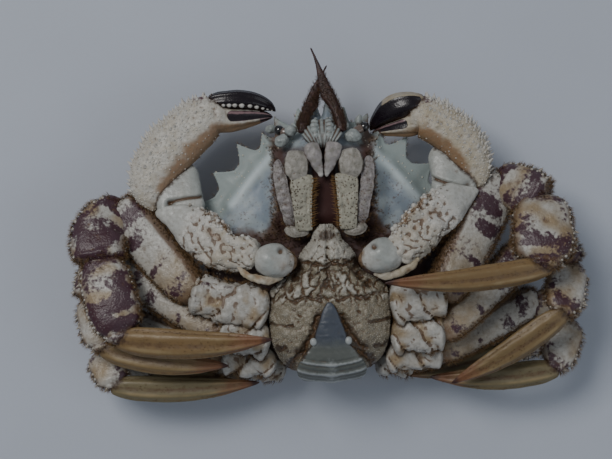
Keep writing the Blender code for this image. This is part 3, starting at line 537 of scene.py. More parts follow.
def haired(name, piece, spacing, reach, seed):
    """A coat piece of tufts on the finished piece that carries them, spacing and reach in millimetres."""
    made = bpy.data.objects.new(name, piece.data.copy())
    bpy.context.scene.collection.objects.link(made)
    sizes = {"Spacing": spacing * MM, "Reach": reach * MM, "Stray": HAIR_STRAY}
    grown(made, coat, {"Tuft": tuft, "Seed": seed, "Finish": bristle, **sizes})
    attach(made, "root")


def joined(name, pieces):
    """One object of several, each keeping its own materials and marks."""
    bpy.ops.object.select_all(action="DESELECT")
    for piece in pieces:
        piece.select_set(True)
    bpy.context.view_layer.objects.active = pieces[0]
    if len(pieces) > 1:
        bpy.ops.object.join()
    pieces[0].name = pieces[0].data.name = name
    return pieces[0]


shells = []


def fixed(piece, slot, *nodes):
    """The piece belongs to the still body and stands for its nodes. The slot is not used."""
    shells.append(piece)
    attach(piece, "root")
    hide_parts(*nodes)


def dome(place, share):
    rim = reading(RIM_HEIGHT, edge_angle(place)) - RIM_THICKNESS / 2
    return rim * share ** DOME_POWER * (DOME_FLATTENING + (1 - DOME_FLATTENING) * share) + DOME_LIFT


def edge_angle(place):
    """0 at the side, 90 at the front and -90 at the rear, alike on both sides."""
    away = place - BODY_CENTRE
    return np.degrees(np.arctan2(away[..., 1], np.abs(away[..., 0])))


def away_from(place, spot):
    return np.linalg.norm(place - np.array(spot), axis=-1)


def back_height(place, share, edge):
    total = 0.0
    for spot in CONTACTS:
        out = np.array(spot) - BODY_CENTRE
        ways = (edge - BODY_CENTRE) / np.linalg.norm(edge - BODY_CENTRE, axis=1)[:, None]
        nearest = edge[np.argmax(ways @ out)]
        far = np.linalg.norm(out) / np.linalg.norm(nearest - BODY_CENTRE)
        depth = dome(np.array(spot), far) + CONTACT_DIP
        total = total + depth * (1 - smooth(away_from(place, spot) / CONTACT_REACH))
    for spot, reach, depth in SWELLINGS:
        total = total + depth * (1 - smooth(away_from(place, spot) / reach))
    deep = np.concatenate([place, np.zeros_like(place[..., :1])], -1)
    rough = 0.35 * lumps(deep, 5.0, 3) + 0.14 * lumps(deep, 1.6, 4)
    return np.maximum(0.0, dome(place, share) - (total + rough) * (1 - share ** 6))


def floor_height(place, share):
    angle = edge_angle(place)
    rim = reading(RIM_HEIGHT, angle) + RIM_THICKNESS / 2
    mouth = smooth((place[..., 1] - 4) / 8) * smooth((22 - np.abs(place[..., 0])) / 6)
    shelf = REAR_SHELF + (MOUTH_SHELF - REAR_SHELF) * mouth
    start = reading(SHELF_START, angle)
    height = rim + (shelf - rim) * smooth((1 - share) / (1 - start))
    return height + CHEEK_FOLD_HEIGHT * cheek_fold(place)


def cheek_fold(place):
    """1 on the fold beside the mouth, falling off quickly outwards and slowly inwards."""
    bent = curve_through(CHEEK_FOLD, 30)
    at = np.stack([np.abs(place[..., 0]), place[..., 1]], -1)
    gaps = at[..., None, :] - bent
    nearest = np.argmin(np.linalg.norm(gaps, axis=-1), axis=-1)
    gap = np.take_along_axis(gaps, nearest[..., None, None], -2)[..., 0, :]
    out = np.where(gap[..., 0] + gap[..., 1] > 0, 3.4, 5.0)
    return 1 - smooth(np.linalg.norm(gap, axis=-1) / out)


def toothed(edge):
    """The outline of the edge with its teeth drawn out of it, and how far each point has moved."""
    moved = edge.copy()
    for x, y, bearing, length, half_width in EDGE_TEETH:
        for side in SIDES.values():
            root = np.array((side * x, y))
            way = np.array((side * math.cos(math.radians(bearing)), math.sin(math.radians(bearing))))
            gap = edge - root
            across = np.abs(gap @ np.array((-way[1], way[0])))
            near = np.linalg.norm(gap, axis=1) < 2.2 * half_width
            reach = np.clip(1 - across / half_width, 0, 1) ** 1.3 * near
            moved += way * (length * reach)[:, None]
    return moved


def shaded_and_stained(paint, base):
    """Browns a colour with painted shade and stain in the hollows of a skin.

    In the narrow gaps between pieces it adds darker painted shade with grime.
    """
    cloudy = (paint.noise(2.4, 4.0) - 0.5) * 1.2 + (paint.noise(0.9, 3.0) - 0.5) * 0.8
    # painted shade with brown stain in the hollows
    base = paint.mix((paint.mark("hollow") * 5.5 + cloudy).step(0.15, 1.15) * 0.8, base, HOLLOW_SHADE_AND_STAIN)
    # darker painted shade with grime where other pieces lie near
    return paint.mix(paint.ragged("near", 1.3, 1.3, 0.35, 1.15) * 0.9, base, GAP_SHADE_AND_GRIME)


def back_finish():
    """Dull tan shell on the back, clouded with red-brown, and blue-white shell on the floor of the body.

    A painted highlight runs along the fold of each cheek.
    """
    paint = Finish("back_shell")
    cloud = paint.mix(paint.noise(11.0).step(0.42, 0.62), BACK_PAINT, BACK_PALE)
    cloud = paint.mix(paint.noise(5.0).step(0.55, 0.7) * 0.8, cloud, BACK_RED)
    belly = paint.mix(paint.noise(7.0, 4.0).step(0.35, 0.65), CHEEK_PALE, CHEEK_BLUE)
    belly = paint.mix(1.0 - paint.mark("speckled"), belly, CHEEK_GREEN)
    # painted highlight: the ridge of the cheek fold is painted paler than the shell around it
    belly = paint.mix(paint.mark("fold") * 0.8, belly, tuple(1.6 * c for c in CHEEK_PALE))
    belly = paint.mix(paint.noise(2.2, 4.0).step(0.55, 0.85) * 0.6, belly, CHEEK_CREAM)
    stain = paint.mark("rust")
    speckle = paint.noise(0.9, 3.0).step(0.54, 0.66) * (paint.mark("speckled") + stain)
    speckle = speckle * paint.noise(5.0).step(0.38, 0.62)
    belly = paint.mix(speckle * 0.6, belly, CHEEK_BROWN)
    belly = paint.mix((stain + paint.noise(2.0, 4.0) * 0.8 - 0.55).step(0.1, 0.75) * 0.9, belly, CHEEK_BROWN)
    # painted shade with dirt and dark hair where the deep mark is high: under and between the mouth plates
    # and under the limbs
    belly = paint.mix(paint.mark("deep"), belly, UNDERSIDE_SHADE_AND_DIRT)
    shade = paint.mix(paint.mark("under"), cloud, belly)
    shade = paint.mix(paint.mark("grain_top") * 0.45, shade, GRAIN_PALE)
    coarse = 1.0 - paint.mark("under") * 0.75
    normal = paint.bump(paint.noise(0.5) * coarse, 0.10, paint.bump((1.0 - paint.cells(0.8)) * coarse, 0.10))
    rough = paint.noise(2.0) * 0.3 + 0.36 + paint.mark("deep") * 0.25
    return paint.set(Base_Color=shaded_and_stained(paint, shade), Roughness=rough, Normal=normal)


def carapace_ring(edge, spiked, share, below):
    """One ring of the carapace, at its share of the way out to the edge, and the marks along it."""
    place = BODY_CENTRE + (edge - BODY_CENTRE) * share
    tip = smooth((share - 0.86) / 0.14) ** 1.5
    drawn = place + (spiked - edge) * tip
    height = floor_height(place, share) if below else back_height(place, share, edge)
    height = height - TOOTH_DROOP * np.linalg.norm(drawn - place, axis=1)
    ring = np.concatenate([drawn, height[:, None]], 1)
    flat = np.concatenate([place, np.zeros((EDGE_STEPS, 1))], 1)
    if below:
        ring[:, 2] += 0.16 * lumps(flat, 2.2, 8) + 0.45 * lumps(flat, 6.5, 9)
    x, y, z = np.abs(place[:, 0]), place[:, 1], ring[:, 2]
    out = (edge - BODY_CENTRE) / np.linalg.norm(edge - BODY_CENTRE, axis=1)[:, None]
    lie = np.concatenate([out * 0.8, np.full((EDGE_STEPS, 1), 0.6 if below else -0.6)], 1)
    if not below:
        plain = dict.fromkeys(("under", "rust", "deep", "speckled", "fold"), np.zeros(EDGE_STEPS))
        return ring, {**plain, "grain": 0.9 * (z > 1.2), "hair": 0.16 * (z > 2.4), "lie": lie}
    mouth = bell(x, 15.0, 5.5) * smooth((y + 2) / 8)
    # low: brown on the floor of the body towards the rear, under the sternum and legs, is painted shade with
    # stain
    low = smooth((13 + 2.5 * lumps(flat, 5.0, 14) - y) / 8)
    beside = bell(x, 16.2, 2.2) * smooth((y - 3) / 4) * smooth((37 - y) / 3)
    behind = bell(y, 3.5, 7.0) * bell(x, 15.0, 13.0)
    # gap, under_mouth and under_limbs make the deep mark: painted shade with dirt and dark hair
    gap = smooth((5.0 - x) / 1.5) * smooth((y - 5) / 3) * smooth((36.5 - y) / 2)
    ragged = 1.6 * lumps(flat, 2.4, 12)
    under_mouth = smooth((17.0 - x + ragged) / 2.0) * smooth((35.5 - y) / 2)
    under_limbs = smooth((7.0 - y + ragged) / 3.0)
    return ring, {
        "under": np.ones(EDGE_STEPS),
        "rust": np.clip(0.95 * mouth - 0.1 + 0.9 * low, 0, 1),
        "deep": np.maximum(gap, 0.72 * np.maximum(under_mouth, under_limbs)),
        "speckled": smooth((48.6 - y - x) / 4),
        # where the painted highlight of the cheek fold lies
        "fold": cheek_fold(place) ** 3,
        "grain": np.full(EDGE_STEPS, 0.12 * (0.85 < share < 0.97)),
        "hair": np.maximum(beside, behind),
        "lie": lie,
    }


def build_carapace():
    outline = curve_through(HALF_OUTLINE, EDGE_STEPS // 2)
    edge = np.concatenate([outline * (-1, 1), outline[-2:0:-1]])
    spiked = toothed(edge)
    back = np.linspace(0.015, 1.0, BACK_RINGS) ** 0.9
    front = np.linspace(1.0, 0.02, FLOOR_RINGS)
    rings = [carapace_ring(edge, spiked, share, False) for share in back]
    rings += [carapace_ring(edge, spiked, share, True) for share in front]
    places, rows = zip(*rings)
    marks = {key: np.array([row[key] for row in rows]) for key in rows[0]}
    marks["hollow"] = 0.08 * (1 - marks["under"]) - 0.04
    return skin("carapace_skin", np.array(places), marks, finish=back_shell)


back_shell = back_finish()
carapace = grained(build_carapace(), back_shell, spacing=1.0, size=0.34, seed=1)
fixed(carapace, "carapace_shell", "carapace")
haired("carapace_bristles", carapace, spacing=0.62, reach=1.9, seed=11)

# Walking legs
# Eight jointed legs of stiff shell, folded in over the belly: base, merus, carpus and propodus in pale
# shell with purple blotches, beads and spines, and a ribbed horn dactylus with a dark tip.
SEGMENTS = ("base", "merus", "carpus", "propodus", "dactylus")
JOINTS = {
    "left": {
        "leg1": ((-20.6, -18.8, 31.2), (-44.6, -13.0, 30.0), (-69.0, 16.9, 20.0),
                 (-75.0, -0.6, 30.0), (-68.2, -26.8, 35.0), (-18.8, -28.0, 42.0)),
        "leg2": ((-20.4, -29.6, 29.4), (-36.6, -26.2, 29.0), (-76.4, 1.1, 15.0),
                 (-79.4, -13.4, 21.0), (-74.6, -30.1, 28.0), (-33.8, -36.8, 31.5)),
        "leg3": ((-18.8, -36.8, 25.4), (-36.0, -35.8, 23.4), (-70.0, -21.6, 10.0),
                 (-77.8, -31.8, 16.0), (-72.2, -43.4, 21.0), (-24.4, -43.9, 19.0)),
        "leg4": ((-15.6, -38.8, 18.8), (-27.5, -40.4, 15.4), (-62.2, -29.8, 7.0),
                 (-73.0, -34.0, 8.0), (-60.6, -38.8, 13.0), (-29.0, -41.6, 12.6)),
    },
    "right": {
        "leg1": ((20.6, -18.6, 31.2), (38.0, -16.6, 31.0), (59.4, 21.6, 20.0),
                 (71.2, 13.4, 30.0), (70.2, -8.6, 40.0), (17.8, -11.2, 44.5)),
        "leg2": ((20.4, -29.6, 29.4), (37.2, -29.0, 29.0), (74.2, 2.0, 15.0),
                 (80.8, -8.9, 22.0), (75.9, -24.4, 34.0), (39.7, -46.2, 25.0)),
        "leg3": ((18.8, -36.8, 25.4), (36.4, -36.6, 23.4), (71.0, -20.1, 10.0),
                 (81.6, -28.3, 15.0), (74.5, -43.6, 21.0), (32.9, -44.5, 18.0)),
        "leg4": ((15.6, -38.8, 18.8), (27.5, -40.4, 15.4), (60.5, -28.7, 7.0),
                 (73.2, -34.6, 8.0), (56.4, -37.6, 13.6), (22.6, -43.6, 12.2)),
    },
}
HALF_WIDTHS = {
    "left": {
        "leg1": (6.2, 7.6, 8.6, 8.2, 4.8),
        "leg2": (4.9, 5.9, 6.4, 6.4, 4.3),
        "leg3": (3.9, 5.2, 5.4, 5.6, 4.1),
        "leg4": (3.4, 4.3, 4.3, 4.4, 3.4),
    },
    "right": {
        "leg1": (6.4, 7.6, 7.8, 9.6, 4.0),
        "leg2": (4.9, 5.9, 6.4, 6.4, 4.3),
        "leg3": (3.9, 5.2, 5.4, 5.6, 4.1),
        "leg4": (3.4, 4.3, 4.3, 4.4, 3.4),
    },
}
ROLLS = {
    "left": {"leg1": (0, -10, 0, 0, 10)},
    "right": {"leg1": (0, 10, 0, 0, -10), "leg2": (0, 0, 0, 0, -14)},
}
# Along each length: how far, as a share of it, and the half width there, as a share of the widest
PROFILES = {
    "base": ((-0.04, 0.8), (0.05, 1.0), (0.25, 1.08), (0.5, 1.04), (0.75, 1.0), (0.95, 0.94), (1.06, 0.74)),
    "merus": (
        (-0.04, 0.5), (0.0, 0.66), (0.08, 0.84), (0.2, 0.94), (0.45, 1.0), (0.75, 1.02), (0.9, 1.0),
        (0.97, 0.9), (1.04, 0.7),
    ),
    "carpus": (
        (-0.12, 0.5), (-0.02, 0.66), (0.15, 0.84), (0.5, 1.02), (0.82, 1.04), (0.96, 0.92), (1.06, 0.7),
    ),
    "propodus": (
        (-0.08, 0.5), (0.0, 0.68), (0.12, 0.9), (0.4, 1.02), (0.7, 1.0), (0.82, 0.88), (0.9, 0.62),
        (0.98, 0.5), (1.05, 0.42),
    ),
    "dactylus": (
        (-0.05, 0.5), (0.0, 0.72), (0.08, 0.92), (0.25, 1.02), (0.55, 0.88), (0.76, 0.62), (0.9, 0.33),
        (0.97, 0.15), (1.0, 0.05),
    ),
}
THICKNESS = {"base": 0.74, "merus": 0.6, "carpus": 0.6, "propodus": 0.52, "dactylus": 0.5}
SQUARENESS = {"base": 2.7, "merus": 2.6, "carpus": 2.5, "propodus": 2.6, "dactylus": 2.2}
# How much of each length is purple, from -1 for none to 1 for all
PURPLE = {
    "left": {
        "leg1": (-1, -0.42, 0.25, 0.3),
        "leg2": (-1, -0.6, -0.3, -0.7),
        "leg3": (-1, -0.6, -0.5, -0.25),
        "leg4": (-1, -0.6, -0.2, -0.2),
    },
    "right": {
        "leg1": (-1, -0.25, 0.0, -0.1),
        "leg2": (-1, -0.5, -0.1, -0.3),
        "leg3": (-1, -0.6, -0.3, -0.4),
        "leg4": (-1, -0.6, -0.2, -0.1),
    },
}
LEG_CREAM = (0.30, 0.225, 0.135)
LEG_WHITE = (0.45, 0.44, 0.41)
LEG_PURPLE = (0.042, 0.008, 0.022)
LEG_BROWN = (0.115, 0.056, 0.024)
HORN_GOLD = (0.200, 0.122, 0.048)
HORN_OLIVE = (0.170, 0.140, 0.075)
HORN_RIDGE = (0.300, 0.225, 0.115)
HORN_ORANGE = (0.170, 0.060, 0.026)
HORN_TIP = (0.040, 0.013, 0.010)
HORN_GROOVE = (0.100, 0.055, 0.032)
OLIVE = {"leg1": 0.15, "leg2": 0.35, "leg3": 1.0, "leg4": 1.0}
BEAD_WIDTH = 1.3
BEAD_PITCH = 1.55 * BEAD_WIDTH
# Angles at which rows of beads run down a leg, and how big those beads are
BEAD_ROWS = ((0.0, 1.0), (0.45, 0.8), (math.pi, 0.7))
BEAD_PROFILE = ((0.05, -0.95), (0.6, -0.75), (0.95, -0.2), (0.9, 0.35), (0.55, 0.8), (0.05, 0.98))
SPIKE_PROFILE = ((0.3, -0.3), (1.0, -0.25), (0.8, 0.0), (0.5, 0.35), (0.25, 0.7), (0.03, 1.0))
# How far the middle of a length bows away from the straight line between its ends
BOWS = {"dactylus": (0.0, -1.5, 0.3), "leg1_carpus_left": (-3.4, 0.8, 0.0)}


class Length:
    """One length of a limb: where its surface is at any share along it and any angle around it.

    The angle is 0 on the outer edge, 90 degrees on the side that faces up and 180 on the inner edge.
    """

    def __init__(self, path, side, half_widths, flatness, roll=0.0, squareness=2.4, relief=None, inner=None):
        self.path = np.array(path, float)
        self.side = side
        self.half_widths = half_widths
        self.inner_widths = inner or half_widths
        self.flatness = flatness if isinstance(flatness, tuple) else ((0.0, flatness), (1.0, flatness))
        self.roll = math.radians(roll)
        self.squareness = squareness
        self.relief = relief
        steps = np.linalg.norm(np.diff(self.path, axis=0), axis=1)
        self.runs = np.concatenate([[0], np.cumsum(steps)])
        self.size = self.runs[-1]

    def middle(self, share):
        """Places on the middle line; past the ends it runs straight on."""
        at = np.asarray(share, float) * self.size
        place = np.stack([np.interp(at, self.runs, self.path[:, k]) for k in range(3)], -1)
        first = (self.path[1] - self.path[0]) / self.runs[1]
        last = (self.path[-1] - self.path[-2]) / (self.runs[-1] - self.runs[-2])
        return place + np.minimum(at, 0)[..., None] * first + np.maximum(at - self.size, 0)[..., None] * last

    def axes(self, share):
        """Along, out and up at each place on the middle line."""
        along = self.middle(np.asarray(share) + 0.02) - self.middle(np.asarray(share) - 0.02)
        along /= np.linalg.norm(along, axis=-1, keepdims=True)
        level = np.cross(UP, along)
        level /= np.linalg.norm(level, axis=-1, keepdims=True)
        broad = level * math.cos(self.roll) + np.cross(along, level) * math.sin(self.roll)
        return along, broad * self.side, np.cross(along, broad)

    def surface(self, share, angle):
        """Places on the surface and the ways straight out of it."""
        share, angle = np.broadcast_arrays(np.asarray(share, float), np.asarray(angle, float))
        along, out, up = self.axes(share)
        outer, inner = flowing(self.half_widths, share), flowing(self.inner_widths, share)
        half_height = 0.5 * (outer + inner) * reading(self.flatness, share)
        c, s = np.cos(angle), np.sin(angle)
        half_width = np.where(c > 0, outer, inner)
        power = 2 / self.squareness
        across = np.sign(c) * np.abs(c) ** power
        rise = np.sign(s) * np.abs(s) ** power
        place = self.middle(share) + out * (half_width * across)[..., None]
        place = place + up * (half_height * rise)[..., None]
        away = out * (c * half_height)[..., None] + up * (s * half_width)[..., None]
        away /= np.maximum(np.linalg.norm(away, axis=-1, keepdims=True), 1e-9)
        if self.relief is not None:
            place = place + away * self.relief(share, angle, place)[..., None]
        return place, away

    def grid(self, grain):
        """Shares and angles for a skin with corners about as far apart as grain, closer at its ends."""
        keys = [key for key, _ in self.half_widths]
        low, high = min(keys), max(keys)
        count = max(12, int((high - low) * self.size / grain))
        t = np.linspace(0, 1, count)
        share = low + (high - low) * (0.3 * (0.5 - 0.5 * np.cos(math.pi * t)) + 0.7 * t)
        widest = max(width for _, width in self.half_widths)
        flattest = max(ratio for _, ratio in self.flatness)
        sides = max(16, int(2 * math.pi * widest * (0.5 + 0.5 * flattest) / grain))
        return np.meshgrid(share, np.arange(sides) / sides * 2 * math.pi, indexing="ij")


def ends_drawn_in(length, share, place, reach):
    """Pulls the last millimetres at each end in to the middle line, so that the ends are round."""
    keys = [key for key, _ in length.half_widths]
    gap = np.minimum(share - min(keys), max(keys) - share) * length.size
    pull = np.sqrt(np.clip(1 - (1 - np.clip(gap / reach, 0, 1)) ** 2, 0, 1))
    middle = length.middle(share)
    return middle + (place - middle) * np.maximum(pull, 0.04)[..., None]


def length_skin(name, length, grain, paint, finish, round_end=2.2, cell=(0, 0, 1)):
    """A skin over one length, with the marks that its paint function gives at each place."""
    share, angle = length.grid(grain)
    place, away = length.surface(share, angle)
    along = length.axes(share)[0]
    marks = paint(share, angle, place)
    marks["lie"] = along * marks.pop("lie_along", 0.5) + away * marks.pop("lie_out", 0.6)
    return skin(name, ends_drawn_in(length, share, place, round_end), marks, finish, cell)


def shell_colour(paint, cream, white, brown, purple, tops=0.5):
    """Pale limy shell, clouded cream and bone white, streaked with purple and stained where it is rough.

    The tops say how much paler than the shell its grains and beads are.
    """
    base = paint.mix((paint.mark("white") + paint.noise(4.0) * 0.5 - 0.25).step(0.2, 0.8), cream, white)
    fine = paint.noise(1.1, 4.0)
    base = paint.mix(paint.ragged("rust", 2.6, 0.9, 0.25, 0.95) * 0.85, base, brown)
    base = paint.mix((fine - 0.5) * 1.2 + 0.12, base, tuple(0.55 * c for c in cream))
    blotch = paint.mark("purple") * 0.6 + (paint.noise(2.2, 3.0) - 0.5) * 0.7 + (fine - 0.5) * 0.7
    base = paint.mix(blotch.step(-0.08, 0.25) * 0.94, base, purple)
    return paint.mix(paint.mark("grain_top") * tops, base, tuple(1.12 * c for c in white)), fine


def shell_finish(name, cream, white, brown, purple, tops=0.5):
    """Dull shell, finely pitted."""
    paint = Finish(name)
    base, fine = shell_colour(paint, cream, white, brown, purple, tops)
    pitted = paint.bump(paint.noise(0.45), 0.09, paint.bump(paint.cells(0.7), 0.07))
    normal = paint.bump(paint.noise(1.6, 5.0), 0.28, pitted)
    return paint.set(Base_Color=shaded_and_stained(paint, base), Roughness=fine * 0.35 + 0.2, Normal=normal)


def horn_finish():
    """Golden horn: pale ridges with dark lines in the grooves between, orange and then maroon at the tip."""
    paint = Finish("dactylus_horn")
    ridge, streak = paint.mark("ridge"), paint.mark("streak")
    clouds = (paint.noise(2.6, 4.0) - 0.5) * 1.4
    base = paint.mix(paint.mark("olive") + clouds * 0.3, HORN_GOLD, HORN_OLIVE)
    base = paint.mix((ridge * 0.8 + streak * 1.1 + clouds).step(0.3, 1.5) * 0.75, base, HORN_RIDGE)
    base = paint.mix((streak * 1.2 - ridge * 0.7 + clouds).step(0.3, 1.3) * 0.8, base, HORN_GROOVE)
    base = paint.mix(paint.ragged("along", 3.0, 0.25, 0.62, 0.92, 3.0) * 0.8, base, HORN_ORANGE)
    base = paint.mix(paint.ragged("along", 1.5, 0.06, 0.9, 0.97, 3.0), base, HORN_TIP)
    normal = paint.bump(paint.noise(0.5), 0.06)
    return paint.set(Base_Color=shaded_and_stained(paint, base), Roughness=paint.noise(1.5) * 0.3 + 0.3, Normal=normal)


leg_shell = shell_finish("leg_shell", LEG_CREAM, LEG_WHITE, LEG_BROWN, LEG_PURPLE, tops=0.22)
horn = horn_finish()


def leg_relief(segment, length_mm, seed):
    """Low swellings all over, and a raised lip round the far end of a length."""
    def relief(share, angle, place):
        rough = 0.30 * lumps(place, 4.5, seed) + 0.16 * lumps(place, 1.6, seed + 1)
        lip = 0.5 * bell((share - 0.965) * length_mm, 0.0, 1.3)
        if segment == "base":
            creased = np.abs(lumps(place, 3.4, seed + 2) + 0.4 * lumps(place, 1.4, seed + 3)) ** 0.6
            rough = 0.7 * lumps(place, 4.6, seed) + (creased - 0.5)
            rough = rough - base_seams(share, angle, length_mm, place)
        keel = 0.35 * np.clip(np.cos(angle - 0.9), 0, 1) ** 8 if segment in ("carpus", "propodus") else 0.0
        return rough + lip + keel
    return relief


def base_seams(share, angle, length_mm, place):
    """The seams between the short rings at the root of a leg, aslant like those of overlapping plates."""
    warped = share * length_mm + 3.4 * np.cos(angle) + 1.6 * lumps(place, 4.0, 37)
    pitch = length_mm / 1.9
    phase = (warped / pitch) % 1.0
    return 0.9 * bell(phase, 0.0, 0.08) + 0.9 * bell(phase, 1.0, 0.08) - 1.1 * smooth(phase)


def dactylus_relief(share, angle, place):
    """Blunt ribs that run the whole way and meet at the tip."""
    ribs = 0.22 * np.cos(6 * angle + 0.5 * np.sin(share * 9))
    ribs = ribs * smooth((share + 0.02) / 0.12) * smooth((1.02 - share) / 0.3)
    return ribs + 0.09 * lumps(place * (0.35, 1.0, 1.0), 1.1, 6)


def leg_paint(segment, purple, length_mm):
    """Where a length is purple, stained, white and haired: rust and hair gather at joints and edges."""
    def paint(share, angle, place):
        outer, top = np.cos(angle), np.sin(angle)
        joint = np.maximum(bell(share, 0.0, 0.12), bell(share, 1.02, 0.07))
        if segment == "base":
            patchy = lumps(place, 3.0, 33)
            seams = base_seams(share, angle, length_mm, place)
            rust = 0.05 + 0.25 * patchy + 0.75 * smooth(seams) + 0.3 * smooth((np.abs(outer) - 0.6) / 0.4)
            hair = 0.5 * smooth(seams) + 0.4 * (np.abs(outer) > 0.9)
            white = 0.5 - 0.5 * patchy + 0.4 * smooth(-seams)
        elif segment == "merus":
            rust = 0.3 + 0.5 * joint + 0.4 * smooth(-outer - 0.35)
            rust = rust + 1.1 * smooth((outer - 0.45) / 0.35) - 0.4 * smooth(share)
            hair = 1.0 * (np.abs(outer + 0.9) < 0.18) + 0.9 * (outer > 0.75) + 0.8 * bell(share, 1.0, 0.06)
            white = 0.35 + 0.7 * smooth(share) * smooth(top + 0.4)
        else:
            rust = 0.3 + 0.45 * joint + 0.5 * smooth((np.abs(outer) - 0.6) / 0.4)
            hair = 0.7 * (np.abs(outer) > 0.9) + 0.6 * bell(share, 1.0, 0.08) + 0.4 * bell(share, 0.0, 0.1)
            white = 0.5 + 0.5 * lumps(place, 5.0, 34)
        bands = lumps(np.stack([share * length_mm / 2.6, outer * 1.3 + 3, top * 1.3], -1), 1.0, len(segment))
        banks = lumps(np.stack([share * length_mm / 8.0, outer * 0.8 + 3, top * 0.8], -1), 1.0, 9)
        spread = purple + 1.1 * bands + 0.7 * banks + 0.25 * smooth(share * 1.3 - 0.3)
        spread = spread - 0.6 * smooth((np.abs(outer) - 0.7) / 0.3) - 0.4 * smooth(-0.3 - top)
        return {"purple": spread, "rust": rust, "white": white, "hair": hair, "grain": 0.32,
                "lie_along": 0.5, "lie_out": 0.8}
    return paint


def dactylus_paint(olive):
    """Streaks along the horn, and sparse hair in the grooves between its ribs."""
    def paint(share, angle, place):
        ridge = np.cos(6 * angle)
        streak = lumps(np.stack([share * 3, np.cos(angle) * 4, np.sin(angle) * 4], -1), 1.0, 5)
        return {"along": share, "ridge": ridge, "streak": streak, "olive": olive,
                "hair": 0.6 * (ridge < -0.3) * (share < 0.9), "lie_along": 0.9, "lie_out": 0.4}
    return paint


def leg_lengths(leg, side):
    """The five lengths of one leg, from its hip to its tip."""
    joints = np.array(JOINTS[side][leg])
    rolls = ROLLS[side].get(leg, (0,) * 5)
    found = {}
    for index, segment in enumerate(SEGMENTS):
        size = np.linalg.norm(joints[index + 1] - joints[index])
        seed = 10 * index + int(leg[-1]) + (100 if side == "left" else 0)
        relief = dactylus_relief if segment == "dactylus" else leg_relief(segment, size, seed)
        widths = [(key, share * HALF_WIDTHS[side][leg][index]) for key, share in PROFILES[segment]]
        path = joints[index:index + 2]
        bow = BOWS.get(segment, BOWS.get(f"{leg}_{segment}_{side}"))
        if bow:
            path = curve_through((path[0], 0.5 * path[0] + 0.5 * path[1] + bow, path[1]), 24)
        section = (widths, THICKNESS[segment], rolls[index], SQUARENESS[segment])
        found[segment] = Length(path, SIDES[side], *section, relief)
    return found


def studs_rule():
    """A copy of a shape at every point, standing along its way and as big as its size says."""
    net, given = tree_named("studs", {"Shape": "Object", "Finish": "Material"})
    shape = net.node("GeometryNodeObjectInfo", None, {"Object": given["Shape"]})
    shape = Wire(net, shape.socket.node.outputs["Geometry"])
    turn = net.node("FunctionNodeAlignRotationToVector", {"axis": "Z"}, {"Vector": named(net, "way")})
    inputs = {"Points": given["Geometry"], "Instance": shape, "Rotation": turn, "Scale": named(net, "size")}
    copies = net.node("GeometryNodeInstanceOnPoints", None, inputs)
    finish_rule(net, net.node("GeometryNodeSetShadeSmooth", None, {0: copies}), given["Finish"])
    return net.tree


def turned_shape(name, profile, sides):
    """A small closed shape turned about its own upright axis, from radii and heights."""
    angle = np.arange(sides) / sides * 2 * math.pi
    rings = [np.stack([r * np.cos(angle), r * np.sin(angle), np.full(sides, z)], 1) for r, z in profile]
    made = skin(name, np.array(rings) / MM - BODY_SHIFT, {}, None)
    bpy.context.scene.collection.objects.unlink(made)
    return made


studs = studs_rule()
bead = turned_shape("bead", BEAD_PROFILE, 8)
spike = turned_shape("spike", SPIKE_PROFILE, 7)


def set_on(name, shape, rows, marks, finish):
    """Copies of a shape on a skin, from rows of places, ways in which they stand, and sizes."""
    places, ways, sizes = (np.concatenate(parts) for parts in zip(*rows))
    count = len(places)
    mesh = bpy.data.meshes.new(name)
    mesh.from_pydata(((places + BODY_SHIFT) * MM).tolist(), [], [])
    marked(mesh, "way", ways)
    marked(mesh, "size", np.broadcast_to(sizes.reshape(count, -1), (count, 3)) * MM)
    for key, value in marks.items():
        marked(mesh, key, np.full(count, value))
    made = bpy.data.objects.new(name, mesh)
    bpy.context.scene.collection.objects.link(made)
    return grown(made, studs, {"Shape": shape, "Finish": finish})


def edge_row(length, count, first, last, angle, chance, wander=0.0):
    """Places, ways out and ways along of a row of things down a length."""
    share = np.linspace(first, last, count) + chance.uniform(-0.3, 0.3, count) * (last - first) / count
    place, away = length.surface(share, angle + chance.uniform(-wander, wander, count))
    return place, away, length.axes(share)[0]


def leg_beads(leg, side, lengths):
    """Rows of round beads on the carpus and propodus, and a few spines on their outer edges."""
    chance = np.random.default_rng(30 + int(leg[-1]) + (10 if side == "left" else 0))
    beads, spikes = [], []
    for segment in ("carpus", "propodus"):
        length = lengths[segment]
        count = max(3, int(length.size / BEAD_PITCH))
        for angle, width in BEAD_ROWS:
            place, away, _ = edge_row(length, count, 0.08, 0.92, angle, chance, 0.1)
            beads.append((place, away, BEAD_WIDTH * 0.5 * width * chance.uniform(0.75, 1.2, count)))
        place, away, along = edge_row(length, 4, 0.2, 0.92, 0.1, chance, 0.15)
        size = chance.uniform(1.4, 2.1, 4)
        spikes.append((place, away + 0.35 * along, np.stack([size * 0.42, size * 0.42, size], 1)))
    marks = {"purple": -0.35, "white": 0.6, "rust": 0.3, "grain_top": 0.4}
    return [set_on("beads", bead, beads, marks, leg_shell), set_on("spikes", spike, spikes, marks, leg_shell)]


